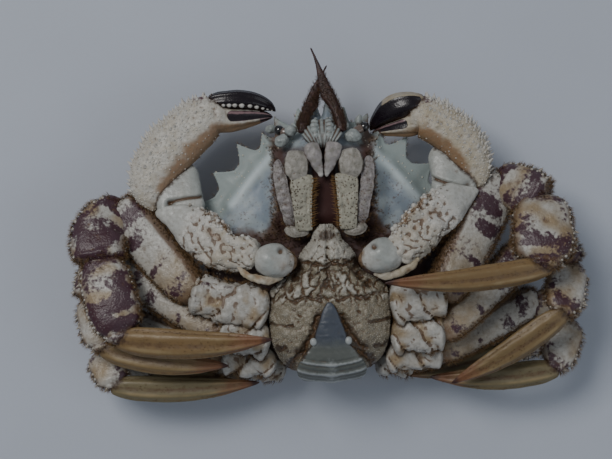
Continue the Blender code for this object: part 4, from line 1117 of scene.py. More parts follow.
for side in SIDES:
    for leg in HALF_WIDTHS[side]:
        lengths = leg_lengths(leg, side)
        parts = []
        for index, (segment, purple) in enumerate(zip(SEGMENTS, PURPLE[side][leg])):
            length = lengths[segment]
            paint = leg_paint(segment, purple, length.size)
            cell = (index % 2, index // 2, 2)
            part = length_skin(f"{leg}_{segment}", length, 0.6, paint, leg_shell, cell=cell)
            parts.append(grained(part, leg_shell, spacing=1.0, size=0.24, seed=index))
        shell = joined(f"{leg}_shell_{side}", parts + leg_beads(leg, side, lengths))
        fixed(shell, "leg_shell", *[f"{leg}_{segment}_{side}" for segment in SEGMENTS[:4]])
        haired(f"{leg}_fringe_{side}", shell, spacing=0.8, reach=2.2, seed=12)
        paint = dactylus_paint(OLIVE[leg])
        tip = length_skin(f"{leg}_horn_{side}", lengths["dactylus"], 0.5, paint, horn, round_end=1.2)
        fixed(tip, "leg_tip_horn", f"{leg}_dactylus_{side}")
        haired(f"{leg}_comb_{side}", tip, spacing=0.7, reach=0.9, seed=13)


# Claws
# Two claw limbs of thick limy shell: a polished ball at the root, a flat merus and carpus, a swollen palm
# set with rows of points, and fingers of dark ridged horn, the left moving one with white teeth.

# Stations down each length: the middle line, the half widths on its outer and inner side, and how thick it
# is as a share of how wide
CLAWS = {
    "left": {
        "ball": (
            (-10.0, -3.6, 34.0, 1.6, 1.6, 0.9), (-11.6, -3.5, 34.4, 2.6, 2.6, 0.95),
            (-12.8, -3.4, 34.9, 3.9, 3.8, 0.97), (-14.8, -3.2, 35.4, 5.2, 5.0, 0.97),
            (-17.2, -2.8, 35.7, 5.8, 5.5, 0.97), (-19.6, -2.6, 35.8, 5.4, 5.3, 0.97),
            (-22.0, -2.4, 35.7, 4.2, 4.2, 0.97), (-24.0, -2.2, 35.4, 2.2, 2.2, 0.97),
        ),
        "merus": (
            (-22.6, -1.6, 35.6, 3.6, 3.6, 0.9), (-24.6, -0.9, 35.4, 5.2, 5.2, 0.8),
            (-28.4, 0.2, 34.8, 5.6, 5.2, 0.75), (-32.8, 1.4, 33.8, 5.6, 6.4, 0.66),
            (-37.9, 4.6, 32.0, 7.2, 7.4, 0.56), (-41.8, 7.4, 30.6, 7.7, 7.6, 0.54),
            (-46.0, 10.4, 29.0, 6.6, 6.6, 0.56), (-50.8, 12.6, 27.8, 4.4, 3.6, 0.62),
            (-54.4, 14.0, 27.2, 2.0, 1.8, 0.75), (-56.4, 14.8, 27.0, 0.6, 0.6, 0.9),
        ),
        "carpus": (
            (-47.6, 12.6, 25.4, 5.0, 5.0, 0.6), (-48.0, 15.4, 25.4, 8.0, 7.6, 0.46),
            (-48.3, 20.0, 24.4, 7.6, 8.0, 0.44), (-48.4, 25.0, 22.6, 7.0, 8.1, 0.46),
            (-47.8, 29.0, 21.0, 6.0, 7.4, 0.5), (-46.8, 31.6, 19.8, 4.0, 5.4, 0.6),
        ),
        "palm": (
            (-55.4, 15.6, 23.4, 1.8, 1.8, 0.9), (-56.4, 17.2, 23.5, 3.6, 3.4, 0.85),
            (-57.6, 20.4, 23.6, 5.8, 5.6, 0.72), (-57.4, 24.4, 23.5, 7.4, 7.0, 0.7),
            (-55.2, 29.4, 23.1, 8.6, 8.0, 0.66), (-51.4, 34.6, 22.7, 9.2, 8.6, 0.64),
            (-46.2, 39.8, 22.3, 9.0, 8.4, 0.64), (-41.0, 43.6, 21.9, 8.6, 7.8, 0.66),
            (-36.8, 45.6, 21.6, 8.0, 6.2, 0.72), (-35.0, 46.0, 21.5, 5.6, 5.8, 0.86),
            (-33.6, 45.9, 21.4, 3.8, 5.2, 1.1), (-30.4, 45.3, 21.2, 3.5, 4.5, 1.05),
            (-26.0, 45.2, 20.9, 3.4, 3.4, 1.0), (-21.4, 45.4, 20.4, 2.6, 2.2, 1.0),
            (-18.2, 45.5, 20.0, 1.6, 1.2, 1.0), (-16.2, 45.4, 19.7, 0.35, 0.35, 1.0),
        ),
        "moving": (
            (-37.2, 50.8, 22.2, 2.0, 2.0, 1.1), (-35.2, 51.4, 22.4, 2.5, 2.4, 1.2),
            (-32.0, 51.7, 22.5, 2.7, 2.9, 1.2), (-27.0, 51.7, 22.2, 2.9, 3.2, 1.1),
            (-22.2, 51.1, 21.4, 2.5, 3.0, 1.05), (-18.4, 49.7, 20.4, 1.8, 2.2, 1.0),
            (-16.2, 48.2, 19.7, 0.9, 0.9, 1.0), (-15.2, 47.2, 19.4, 0.3, 0.3, 1.0),
        ),
        "lip": (
            (-29.6, -3.6, 37.0, 0.5, 0.5, 0.6), (-27.2, -6.4, 37.2, 1.2, 1.2, 0.6),
            (-23.6, -8.2, 37.0, 1.4, 1.4, 0.6), (-19.0, -9.0, 36.2, 1.3, 1.3, 0.6),
            (-14.6, -8.4, 35.0, 0.5, 0.5, 0.6),
        ),
    },
    "right": {
        "ball": (
            (10.0, -3.6, 34.0, 1.6, 1.6, 0.9), (11.8, -3.5, 34.4, 2.6, 2.6, 0.95),
            (13.2, -3.3, 34.9, 3.9, 3.8, 0.97), (15.2, -3.0, 35.4, 5.2, 5.0, 0.97),
            (17.6, -2.6, 35.7, 5.8, 5.5, 0.97), (20.0, -2.4, 35.8, 5.4, 5.3, 0.97),
            (22.4, -2.4, 35.7, 4.2, 4.2, 0.97), (24.4, -2.4, 35.4, 2.2, 2.2, 0.97),
        ),
        "merus": (
            (21.6, -2.4, 35.8, 3.4, 3.4, 0.9), (23.6, -1.0, 35.6, 5.6, 5.6, 0.8),
            (27.0, 1.4, 34.8, 6.8, 6.8, 0.68), (31.9, 5.8, 33.2, 6.9, 6.8, 0.6),
            (37.1, 10.2, 31.2, 7.3, 6.9, 0.56), (42.0, 14.0, 29.6, 6.6, 6.4, 0.56),
            (46.2, 15.9, 28.4, 3.8, 4.2, 0.62), (49.2, 17.0, 27.8, 1.8, 2.0, 0.75),
            (51.2, 17.6, 27.6, 0.6, 0.6, 0.9),
        ),
        "carpus": (
            (43.0, 14.6, 25.6, 5.0, 5.0, 0.6), (43.2, 17.6, 25.6, 7.6, 7.2, 0.46),
            (43.0, 22.0, 24.6, 7.0, 7.9, 0.44), (42.4, 27.0, 22.8, 7.0, 7.8, 0.46),
            (41.2, 31.4, 21.2, 6.0, 7.0, 0.5), (40.0, 34.2, 20.0, 4.0, 5.0, 0.6),
        ),
        "palm": (
            (50.0, 18.4, 24.6, 1.8, 1.8, 0.9), (50.4, 20.2, 24.6, 3.4, 3.0, 0.85),
            (50.6, 22.8, 24.6, 4.6, 4.2, 0.78), (50.0, 26.0, 24.5, 5.8, 5.6, 0.76),
            (48.4, 30.4, 24.2, 7.2, 6.8, 0.74), (45.4, 34.9, 23.9, 7.6, 6.8, 0.72),
            (41.2, 38.7, 23.6, 7.2, 6.8, 0.74), (36.8, 41.4, 23.2, 7.2, 7.0, 0.74),
            (33.6, 42.8, 22.9, 7.2, 6.8, 0.74), (32.0, 42.8, 22.7, 5.0, 6.4, 0.82),
            (30.6, 42.2, 22.4, 3.0, 5.6, 0.95), (28.0, 40.8, 21.6, 2.8, 4.2, 1.1),
            (24.0, 39.9, 20.4, 2.2, 2.6, 1.15), (20.0, 39.3, 19.0, 1.4, 1.5, 1.1),
            (17.0, 38.8, 17.8, 0.35, 0.35, 1.0),
        ),
        "moving": (
            (34.2, 47.6, 23.2, 2.2, 2.2, 1.1), (32.6, 48.0, 23.4, 2.9, 3.2, 1.1),
            (29.2, 48.2, 23.4, 3.3, 4.6, 1.0), (25.2, 47.4, 22.4, 3.8, 5.0, 0.9),
            (21.8, 45.4, 20.8, 3.4, 4.2, 0.9), (18.8, 42.7, 18.8, 2.2, 2.4, 1.0),
            (17.2, 40.7, 17.6, 1.1, 1.1, 1.0), (16.5, 39.6, 17.1, 0.4, 0.4, 1.0),
        ),
        "lip": (
            (29.8, -3.6, 37.0, 0.5, 0.5, 0.6), (27.2, -6.2, 37.2, 1.2, 1.2, 0.6),
            (23.8, -8.0, 37.0, 1.4, 1.4, 0.6), (19.2, -8.9, 36.2, 1.3, 1.3, 0.6),
            (14.8, -8.4, 35.0, 0.5, 0.5, 0.6),
        ),
    },
}
HINGE = {"left": (-34.2, 46.0), "right": (31.2, 42.4)}
# Rows of points on the palm: their angle, how many, the shares where they begin and end, and their length
POINT_ROWS = (
    (0.0, 22, 0.05, 0.66, 2.0), (0.22, 20, 0.08, 0.66, 1.5), (0.5, 18, 0.12, 0.64, 1.3),
    (0.8, 14, 0.2, 0.6, 1.0), (1.15, 12, 0.22, 0.6, 1.2), (1.5, 12, 0.2, 0.56, 0.8),
    (-0.3, 18, 0.08, 0.66, 1.3), (-0.7, 15, 0.12, 0.64, 0.9),
)
CARPUS_SLIT = {
    "left": ((-51.6, 17.9), (-46.5, 18.9), (-41.0, 19.4)),
    "right": ((35.6, 22.6), (40.1, 20.8), (45.1, 19.1), (48.8, 18.0)),
}
CARPUS_HOLLOW = {"left": (-51.4, 17.2), "right": (47.4, 19.4)}
BALL_NOTCH = (15.2, 0.6)
# Rows of lumps on the merus: their angle, how many, and their half width
LUMP_ROWS = ((0.15, 13, 0.95), (0.6, 11, 0.8), (1.0, 10, 0.6), (1.5, 8, 0.5), (2.2, 7, 0.45))
# Teeth of the left moving finger: how far down it each one is, and its half width
FINGER_TEETH = (
    (0.2, 0.8), (0.28, 0.95), (0.36, 0.9), (0.46, 1.05), (0.58, 1.0), (0.69, 0.85), (0.79, 0.7), (0.87, 0.55),
    (0.94, 0.45),
)
# The hinge's share of the palm for which the rows of points are given
POINTS_HINGE = 0.68
PALM_WHITE = {"left": 0.6, "right": 0.45}
# How much of the moving finger's outer edge is worn brown
FINGER_WORN = {"left": 0.0, "right": 1.0}
CLAW_CREAM = (0.40, 0.335, 0.225)
CLAW_WHITE = (0.54, 0.53, 0.50)
CLAW_BROWN = (0.225, 0.110, 0.038)
CLAW_PURPLE = (0.07, 0.020, 0.036)
CLAW_POLISHED = (0.215, 0.250, 0.245)
CLAW_PIT = (0.035, 0.022, 0.018)
FINGER_DARK = (0.010, 0.006, 0.010)
FINGER_RIDGE = (0.23, 0.145, 0.155)


def claw_finish():
    """Cream shell with pale points; the fingers turn to dark horn with pinkish ridges."""
    paint = Finish("claw_shell")
    base, fine = shell_colour(paint, CLAW_CREAM, CLAW_WHITE, CLAW_BROWN, CLAW_PURPLE)
    sheen = paint.mix(paint.noise(3.0).step(0.4, 0.7), CLAW_POLISHED, tuple(1.25 * c for c in CLAW_POLISHED))
    base = paint.mix(paint.mark("polish") * 0.85, base, sheen)
    dark = paint.mix(paint.ragged("ridge", 1.8, 0.9, 0.55, 1.15, 3.0), FINGER_DARK, FINGER_RIDGE)
    horned = paint.ragged("horn", 1.7, 0.35, 0.42, 0.58, 3.0)
    base = paint.mix(horned, base, dark)
    base = paint.mix(paint.mark("pit"), base, CLAW_PIT)
    shine = paint.mark("polish") + horned * 0.6
    dull = 1.0 - shine
    coarse = paint.bump(paint.noise(1.5, 5.0) * dull, 0.34, paint.bump(paint.cells(0.8) * dull, 0.06))
    normal = paint.bump(paint.noise(0.5), 0.07, coarse)
    rough = fine * 0.3 + 0.32 - shine * 0.26
    return paint.set(Base_Color=shaded_and_stained(paint, base), Roughness=rough, Normal=normal)


claw_shell = claw_finish()


def tapered(stations, side, squareness, relief=None):
    """A length through stations of place, outer and inner half width and thickness."""
    fine = curve_through(stations, 60)
    share = np.concatenate([[0], np.cumsum(np.linalg.norm(np.diff(fine[:, :3], axis=0), axis=1))])
    outer, inner, flat = (tuple(zip(share / share[-1], np.maximum(fine[:, k], 0.2))) for k in (3, 4, 5))
    return Length(fine[:, :3], side, outer, flat, 0.0, squareness, relief, inner)


def share_at(length, spot):
    """How far down a length the place beside a spot of the floor lies."""
    gaps = np.linalg.norm(length.path[:, :2] - np.array(spot), axis=1)
    return length.runs[np.argmin(gaps)] / length.size


def creases(place, size, seed, depth):
    """Narrow winding creases between rounded swellings."""
    return depth * (np.abs(lumps(place, size, seed) + 0.4 * lumps(place, 0.4 * size, seed + 1)) ** 0.6 - 0.5)


def merus_relief(seed):
    """A rough plate with lumps along its front edge and on its face, and a thin lip at the carpus."""
    def relief(share, angle, place):
        row = (0.5 + 0.5 * np.cos(share * 38 + 1.5 * np.sin(share * 9))) * bell(share, 0.42, 0.42)
        edge = 0.9 * row * np.clip(np.cos(angle - 0.35), 0, 1) ** 6
        lip = 0.5 * bell(np.cos(angle), 0.9, 0.3) * smooth((share - 0.72) / 0.1)
        fold = 0.7 * bell(np.sin(angle - 0.2), 0.55, 0.35) * (np.cos(angle) > 0) * bell(share, 0.35, 0.35)
        worn = smooth((0.7 - share) / 0.15)
        coarse = (0.7 * lumps(place, 5.0, seed) + 0.5 * lumps(place, 1.5, seed + 1)) * (0.35 + 0.65 * worn)
        return coarse + creases(place, 3.2, seed + 4, 1.3) * worn + edge + lip + fold
    return relief


def carpus_relief(side):
    """A smooth wedge with a narrow slit across it and a hollow at its outer end."""
    def relief(share, angle, place):
        slit, hollow = carpus_hollows(side, place)
        swellings = 0.25 * lumps(place, 4.0, 51) + 0.1 * lumps(place, 1.4, 54)
        return swellings - (1.5 * slit + 1.1 * hollow) * (np.sin(angle) > 0)
    return relief


def carpus_hollows(side, place):
    """How deep each place lies in the slit and in the hollow, from 0 to 1."""
    line = curve_through(CARPUS_SLIT[side], 24)
    near = np.min(np.linalg.norm(place[..., None, :2] - line, axis=-1), axis=-1)
    return bell(near, 0.0, 0.95), bell(away_from(place[..., :2], CARPUS_HOLLOW[side]), 0.0, 2.4)


def palm_relief(seed, hinge):
    """Coarse grains on the palm, which give way to blunt ridges down the fixed finger."""
    def relief(share, angle, place):
        finger = smooth((share - hinge) / 0.06)
        coarse = 0.3 * lumps(place, 2.2, seed + 1) + 0.15 * lumps(place, 1.1, seed + 2)
        grainy = 0.3 * lumps(place, 5.0, seed) + coarse * smooth(np.cos(angle) + 0.9)
        return grainy * (1 - 0.8 * finger) + finger * ridges(share, angle, place)
    return relief


def ridges(share, angle, place):
    """Blunt ridges that run down a finger to its point."""
    return 0.24 * np.cos(6 * angle + 0.7) * smooth((1 - share) / 0.12) + 0.06 * lumps(place, 2.0, 3)


def lip_relief(share, angle, place):
    return 0.5 * lumps(place, 1.9, 52) + 0.2 * lumps(place, 0.8, 53)


def plain_marks(**marks):
    """The marks of a claw's surface, without purple, horn, polish, pits, hair or grains unless given."""
    usual = {key: 0.0 for key in ("polish", "horn", "ridge", "pit", "hair", "grain")}
    return {**usual, "purple": -1.0, "rust": 0.2, "white": 0.6, **marks}


def ball_relief(share, angle, place):
    return 0.55 * lumps(place, 4.2, 55) + 0.18 * lumps(place, 1.6, 56) - 1.1 * ball_notch(place, angle)


def ball_notch(place, angle):
    """1 in the dark hollow on the front of the ball, where a muscle's cord is fixed."""
    at = np.stack([np.abs(place[..., 0]), place[..., 1]], -1)
    return bell(away_from(at, BALL_NOTCH), 0.0, 1.7) * (np.sin(angle) > 0)


def ball_paint(share, angle, place):
    root = bell(share, 0.0, 0.3)
    stain = 0.5 * np.clip(lumps(place, 2.6, 57), 0, 1)
    polish = 0.75 * bell(share, 0.6, 0.5) * (1 - stain)
    return plain_marks(polish=polish, rust=0.15 + 0.9 * root + stain, hair=0.8 * root, white=1.0,
                       pit=0.9 * ball_notch(place, angle))


def lip_paint(share, angle, place):
    rust = 0.35 - 0.4 * lumps(place, 1.9, 52)
    return plain_marks(white=0.4, rust=rust, hair=0.4 * (np.sin(angle) < -0.3))


def claw_merus_paint(share, angle, place):
    front, top = np.cos(angle), np.sin(angle)
    middle = bell(share, 0.4, 0.42)
    rust = 0.18 + 0.7 * bell(front, 0.86, 0.22) * middle + 0.35 * bell(front, 0.25, 0.3) * middle * (top > 0)
    rust = rust + 0.5 * smooth(-front - 0.75) + 0.4 * bell(share, 0.72, 0.12) * bell(front, -0.3, 0.6)
    pale = smooth((share - 0.62) / 0.12) * (top > 0)
    hair = 0.9 * bell(front, 0.8, 0.25) * middle + 0.4 * bell(front, -0.97, 0.12)
    grain = 0.8 * smooth(top + 0.3) * (0.5 + 0.5 * bell(share, 0.42, 0.45))
    white = 0.6 + 0.4 * smooth(share * 1.2) - 0.2 * middle
    return plain_marks(rust=rust * (1 - 0.8 * pale), hair=hair, grain=grain * (1 - pale), white=white,
                       polish=0.3 * pale)


def carpus_paint(side):
    def paint(share, angle, place):
        slit, hollow = carpus_hollows(side, place)
        green = 0.85 * (0.7 + 0.3 * lumps(place, 5.0, 53))
        pit = np.clip(0.85 * slit + 0.7 * hollow, 0, 1) * (np.sin(angle) > 0)
        return plain_marks(polish=green, rust=0.4 * bell(share, 0.0, 0.1), white=1.0, pit=pit)
    return paint


def palm_paint(hinge, pale):
    """Cream over the palm, brown on its inner edge, purple by the hinge, dark down the finger."""
    def paint(share, angle, place):
        outer = np.cos(angle)
        inner = smooth((0.05 - outer) / 0.95)
        finger = smooth((share - hinge - 0.03) / 0.05)
        rust = 0.16 + inner + 0.25 * lumps(place, 3.0, 58)
        rust = rust - 0.35 * finger * (1 - inner) + 0.3 * bell(share, 0.0, 0.06)
        near = bell(share, hinge - 0.06, 0.12)
        purple = -0.85 + 0.75 * near * smooth(outer + 0.2) + 0.4 * smooth(outer * 1.4 - 0.6) * (share < hinge)
        banded = bell(angle, 1.35, 0.95) + bell(angle, 1.35, 0.5)
        horned = np.maximum(banded * smooth((share - hinge - 0.02) / 0.05), smooth((share - 0.9) / 0.05))
        grain = (0.25 + 0.75 * smooth((outer + 0.5) / 0.8)) * (share < hinge)
        hair = 0.35 * smooth(-outer - 0.75) * (share < hinge) + 0.2 * bell(share, 0.02, 0.08)
        ridge = 0.9 * np.cos(7.5 * (angle - 1.1)) + 0.25
        return plain_marks(rust=rust, purple=purple, grain=grain, hair=hair, white=pale, horn=horned,
                           ridge=ridge)
    return paint


def finger_paint(brown):
    """Nearly black, with a brown band along the outer edge where the claw is worn."""
    def paint(share, angle, place):
        outer = np.cos(angle)
        worn = brown * smooth((outer - 0.35) / 0.3) * smooth((0.7 - share) / 0.3)
        root = smooth((0.1 - share + 0.03 * np.sin(3 * angle)) / 0.05) * brown
        ridge = 0.75 * np.cos(6 * angle + 0.7) - 0.3 + 0.5 * bell(outer, -0.75, 0.3)
        return plain_marks(horn=1.0 - np.maximum(worn, root), ridge=ridge, rust=0.45, white=0.3, polish=0.2)
    return paint


def set_marks(**marks):
    """The marks of points, lumps and teeth: pale shell."""
    usual = {key: 0.0 for key in ("polish", "horn", "ridge", "pit", "hair")}
    return {**usual, "purple": -1.0, "rust": 0.12, "white": 1.0, "grain_top": 1.0, **marks}


def palm_points(palm, seed, scale):
    """Rows of short pale points: the longest on the palm's outer edge, shorter rows over its upper face."""
    chance = np.random.default_rng(seed)
    rows = []
    for angle, count, first, last, longest in POINT_ROWS:
        place, away, along = edge_row(palm, count, first, last * scale, angle, chance, 0.07)
        size = longest * chance.uniform(0.7, 1.15, count)
        rows.append((place, away + 0.35 * along, np.stack([0.36 * size + 0.3] * 2 + [size], 1)))
    return set_on("points", spike, rows, set_marks(rust=0.45, white=0.7), claw_shell)


def finger_teeth(finger, seed):
    """A row of round white teeth on the moving finger's inner face, the widest in the middle."""
    chance = np.random.default_rng(seed)
    share, width = np.array(FINGER_TEETH).T
    place, away = finger.surface(share, np.full(len(share), math.pi - 0.75))
    along = finger.axes(share)[0]
    row = (place - 0.1 * away, away + 0.1 * along, width * chance.uniform(0.92, 1.08, len(share)))
    return set_on("teeth", bead, [row], set_marks(rust=0.0, grain_top=0.6), claw_shell)


def merus_lumps(merus, seed):
    """Rounded white lumps along the front edge of the merus and a few on its face."""
    chance = np.random.default_rng(seed)
    rows = []
    for angle, count, width in LUMP_ROWS:
        place, away, _ = edge_row(merus, count, 0.12, 0.66, angle, chance, 0.2)
        rows.append((place - 0.3 * away * width, away, width * chance.uniform(0.55, 1.15, count)))
    return set_on("lumps", bead, rows, set_marks(grain_top=0.7), claw_shell)


def build_arm(side, sign, seed):
    """The ball with the lip beside it, the merus and the carpus: one limb up to the palm."""
    at = CLAWS[side]
    ball = tapered(at["ball"], sign, 2.0, ball_relief)
    merus = tapered(at["merus"], sign, 2.3, merus_relief(seed))
    carpus = tapered(at["carpus"], sign, 3.2, carpus_relief(side))
    lip = tapered(at["lip"], sign, 2.0, lip_relief)
    parts = [
        length_skin("ball", ball, 0.45, ball_paint, claw_shell, 1.2, (0, 0, 3)),
        length_skin("lip", lip, 0.25, lip_paint, claw_shell, 0.8, (1, 0, 3)),
    ]
    plate = length_skin("merus", merus, 0.5, claw_merus_paint, claw_shell, 1.0, (2, 0, 3))
    parts.append(grained(plate, claw_shell, spacing=0.95, size=0.26, seed=2))
    parts.append(length_skin("carpus", carpus, 0.4, carpus_paint(side), claw_shell, 1.6, (0, 1, 3)))
    parts.append(merus_lumps(merus, seed))
    return joined(f"claw_arm_{side}", parts)


def build_hand(side, sign, seed):
    """The palm with its points and its fixed finger."""
    stations = CLAWS[side]["palm"]
    hinge = share_at(tapered(stations, -sign, 2.2), HINGE[side])
    palm = tapered(stations, -sign, 2.2, palm_relief(seed + 9, hinge))
    paint = palm_paint(hinge, PALM_WHITE[side])
    palm_skin = length_skin("palm", palm, 0.42, paint, claw_shell, 0.8, (0, 0, 2))
    return joined(f"claw_hand_{side}", [
        grained(palm_skin, claw_shell, spacing=1.05, size=0.34, seed=3),
        palm_points(palm, seed, hinge / POINTS_HINGE),
    ])


def build_thumb(side, sign, seed):
    """The moving finger, which has teeth on the left claw alone."""
    moving = tapered(CLAWS[side]["moving"], -sign, 2.2, ridges)
    parts = [length_skin("moving", moving, 0.35, finger_paint(FINGER_WORN[side]), claw_shell, 0.8)]
    if side == "left":
        parts.append(finger_teeth(moving, seed + 3))
    return joined(f"claw_thumb_{side}", parts)


for side, sign in SIDES.items():
    seed = 40 + sign
    arm = build_arm(side, sign, seed)
    fixed(arm, "claw_shell", *[f"claw_{part}_{side}" for part in ("base", "merus", "carpus")])
    haired(f"claw_arm_fringe_{side}", arm, spacing=0.6, reach=1.7, seed=14)
    hand = build_hand(side, sign, seed)
    fixed(hand, "claw_shell", f"claw_palm_{side}")
    haired(f"claw_hand_fringe_{side}", hand, spacing=0.8, reach=1.2, seed=15)
    fixed(build_thumb(side, sign, seed), "claw_finger", f"claw_finger_{side}")


# Sternum
# The rough plate between the roots of the limbs: jagged leaves of pale granular shell parted by brown cracks,
# with deep red-brown pits beside its front leaf. It lies on the floor of the body.
STERNUM_HALF_WIDTHS = (
    (8.5, 2.0), (6.0, 4.2), (3.4, 5.2), (1.2, 7.2), (-1.6, 9.2), (-5.5, 10.2), (-7.6, 12.0), (-9.6, 15.4),
    (-12.0, 18.6), (-16.0, 19.8), (-20.0, 20.0), (-25.0, 19.8), (-29.0, 19.4), (-33.0, 18.2), (-36.5, 16.4),
    (-39.6, 13.0),
)
STERNUM_FOOT = 25.5
STERNUM_EDGE = 32.6
STERNUM_CREST = 37.0
# Cracks that part the leaves of the right half: their places, depth and half width
STERNUM_CRACKS = (
    (((0.2, -4.2), (3.0, -4.6), (6.0, -4.2), (9.6, -3.2)), 1.2, 0.55),
    (((0.1, -5.0), (0.5, -8.4), (1.6, -11.4), (2.6, -15.6)), 1.0, 0.4),
    (((2.6, -16.4), (6.0, -15.6), (9.6, -15.4), (13.0, -16.4)), 1.2, 0.5),
    (((13.0, -24.4), (16.0, -23.8), (19.5, -23.4)), 0.5, 0.5), (((14.5, -32.2), (18.0, -31.4)), 0.5, 0.6),
    (((4.0, -22.0), (6.6, -28.0), (9.6, -32.4), (12.4, -36.4), (13.6, -39.0)), 1.5, 1.3),
)
STERNUM_PITS = (
    ((0.0, 0.9), 1.0, 0.9), ((0.2, -2.6), 1.2, 1.2), ((9.8, -5.0), 3.0, 2.2), ((10.6, -8.6), 2.6, 2.0),
    ((12.4, -12.0), 2.0, 1.6), ((2.2, 4.6), 0.9, 0.8), ((4.4, 3.0), 0.8, 0.6), ((7.0, -26.0), 0.8, 0.6),
    ((9.6, -21.0), 1.0, 0.7),
)
# Width of the small leaves between the cracks, before and behind the middle; they spread from one place
LEAF_SIZES = (3.0, 5.0)
LEAVES_SPREAD_FROM = np.array((0.0, 3.0))
LEAF_STRETCH = 1.7
STERNUM_CREAM = (0.230, 0.200, 0.145)
STERNUM_WHITE = (0.44, 0.42, 0.37)
STERNUM_BROWN = (0.040, 0.018, 0.009)


def crack_share(place, cracks):
    """How deep each place lies in the cracks, in millimetres, and how dark it is there."""
    at = np.stack([np.abs(place[..., 0]), place[..., 1]], -1)
    deep, dark = 0.0, 0.0
    for points, depth, half_width in cracks:
        line = curve_through(points, 24)
        near = np.min(np.linalg.norm(at[..., None, :] - line, axis=-1), axis=-1)
        deep = np.maximum(deep, depth * bell(near, 0.0, 1.6 * half_width))
        dark = np.maximum(dark, bell(near, 0.0, 2.4 * half_width))
    return deep, dark


def leaf_cracks(place, size, seed):
    """0 within jagged cells about size across and 1 on their edges, and a random number for each cell."""
    chance = np.random.default_rng(seed)
    columns, rows = np.meshgrid(np.arange(-22, 22, size), np.arange(-42, 10, size * 1.35))
    seeds = np.stack([columns.ravel(), rows.ravel()], 1)
    seeds += chance.uniform(-0.42, 0.42, seeds.shape) * size
    across = place[..., None, :2] - seeds
    ways = seeds - LEAVES_SPREAD_FROM
    ways /= np.linalg.norm(ways, axis=1)[:, None]
    along = np.einsum("...i,...i->...", across, ways)
    aside = np.maximum(np.einsum("...i,...i->...", across, across) - along ** 2, 0)
    gaps = np.sqrt(aside + (along / LEAF_STRETCH) ** 2)
    order = np.argsort(gaps, axis=-1)[..., :2]
    first, second = np.moveaxis(np.take_along_axis(gaps, order, -1), -1, 0)
    return bell(second - first, 0.0, 0.34 * size), chance.uniform(-1, 1, len(seeds))[order[..., 0]]


def build_sternum():
    span = np.linspace(8.5, -39.6, 190)
    across = np.sin(np.linspace(-0.5, 0.5, 160) * math.pi)
    keys = (0.0, 0.1, 0.28, 0.6, 0.92, 1.0)
    rings = []
    for y in span:
        half = flowing(STERNUM_HALF_WIDTHS, y)
        front = smooth((8.5 - y) / 9)
        drop = 5.5 * smooth((-26.0 - y) / 16)
        edge = STERNUM_EDGE - drop
        crest = STERNUM_EDGE + (STERNUM_CREST - STERNUM_EDGE) * (0.35 + 0.65 * front) - 0.7 * drop
        heights = (crest - 1.0, crest - 0.3, crest, crest - 0.9, edge, edge - 1.4)
        top = np.interp(np.abs(across), keys, heights)
        above = np.stack([half * across, np.full(len(across), y), top], 1)
        below = np.stack([np.linspace(half, -half, 26), np.full(26, y), np.full(26, STERNUM_FOOT)], 1)
        rings.append(np.concatenate([above, below]))
    rings = np.array(rings)
    flat = rings * (1, 1, 0)
    wander = np.stack([lumps(flat, 2.0, 23), lumps(flat, 2.0, 24), 0 * flat[..., 0]], -1)
    wander += 0.5 * np.stack([lumps(flat, 0.8, 25), lumps(flat, 0.8, 26), 0 * flat[..., 0]], -1)
    jagged = flat + 0.9 * wander
    deep, dark = crack_share(jagged, STERNUM_CRACKS)
    for spot, reach, depth in STERNUM_PITS:
        at = np.stack([np.abs(jagged[..., 0]), jagged[..., 1]], -1)
        hollow = bell(away_from(at, spot), 0.0, reach)
        deep, dark = np.maximum(deep, depth * hollow), np.maximum(dark, 1.2 * hollow)
    before = smooth((rings[..., 1] + 18.5) / 3)
    small, pale = leaf_cracks(jagged, LEAF_SIZES[0], 3)
    large, _ = leaf_cracks(jagged, LEAF_SIZES[1], 4)
    front_leaf = smooth((rings[..., 1] + 4.0) / 1.5)
    leaves = (0.85 * small * before + 0.06 * large * (1 - before)) * (1 - 0.75 * front_leaf)
    deep = np.maximum(deep, leaves)
    dark = np.maximum(dark, 0.85 * leaves)
    upper = rings[..., 2] > STERNUM_FOOT + 0.5
    height = 0.55 * lumps(flat, 3.2, 21) + 0.38 * lumps(flat, 1.3, 22) + 0.24 * lumps(flat, 0.6, 27)
    blotchy = lumps(flat, 4.4, 28) + 0.6 * lumps(flat, 1.8, 29)
    rings[..., 2] += upper * (height + 0.35 * pale * before - deep)
    lip = bell(rings[..., 1], 4.8, 3.2) * bell(np.abs(rings[..., 0]), 0.0, 5.0)
    sides = bell(np.abs(rings[..., 0]) + 0.9 * (rings[..., 1] + 12), 15.0, 5.0) * before
    white = 0.4 * before + 0.6 * height + 0.35 * pale * before + 0.5 * front_leaf
    rust = 0.1 + 0.95 * dark - 0.3 * height - 0.1 * front_leaf + 1.1 * lip
    marks = {
        "purple": -1.0 + 0.75 * bell(blotchy, 1.0, 0.9) * (1 - before),
        "white": white + 0.3 * sides - 0.7 * dark,
        "rust": np.clip(rust + (0.12 + 0.3 * blotchy) * (1 - before), 0, 1.4),
        "grain": upper * np.clip(0.9 - 1.3 * dark - lip, 0, 1),
        "hair": upper * np.clip(0.3 * dark + 0.6 * lip, 0, 1),
        "lie": np.stack([0.4 * np.sign(rings[..., 0]), 0.3 + 0 * deep, 0.8 + 0 * deep], -1),
    }
    return skin("sternum_shell", rings, marks, sternum_finish)


sternum_finish = shell_finish("sternum_shell", STERNUM_CREAM, STERNUM_WHITE, STERNUM_BROWN, LEG_PURPLE)
sternum = grained(build_sternum(), sternum_finish, spacing=0.6, size=0.22, seed=5)
fixed(sternum, "belly_shell", "sternum")
haired("sternum_hair", sternum, spacing=0.75, reach=1.2, seed=16)

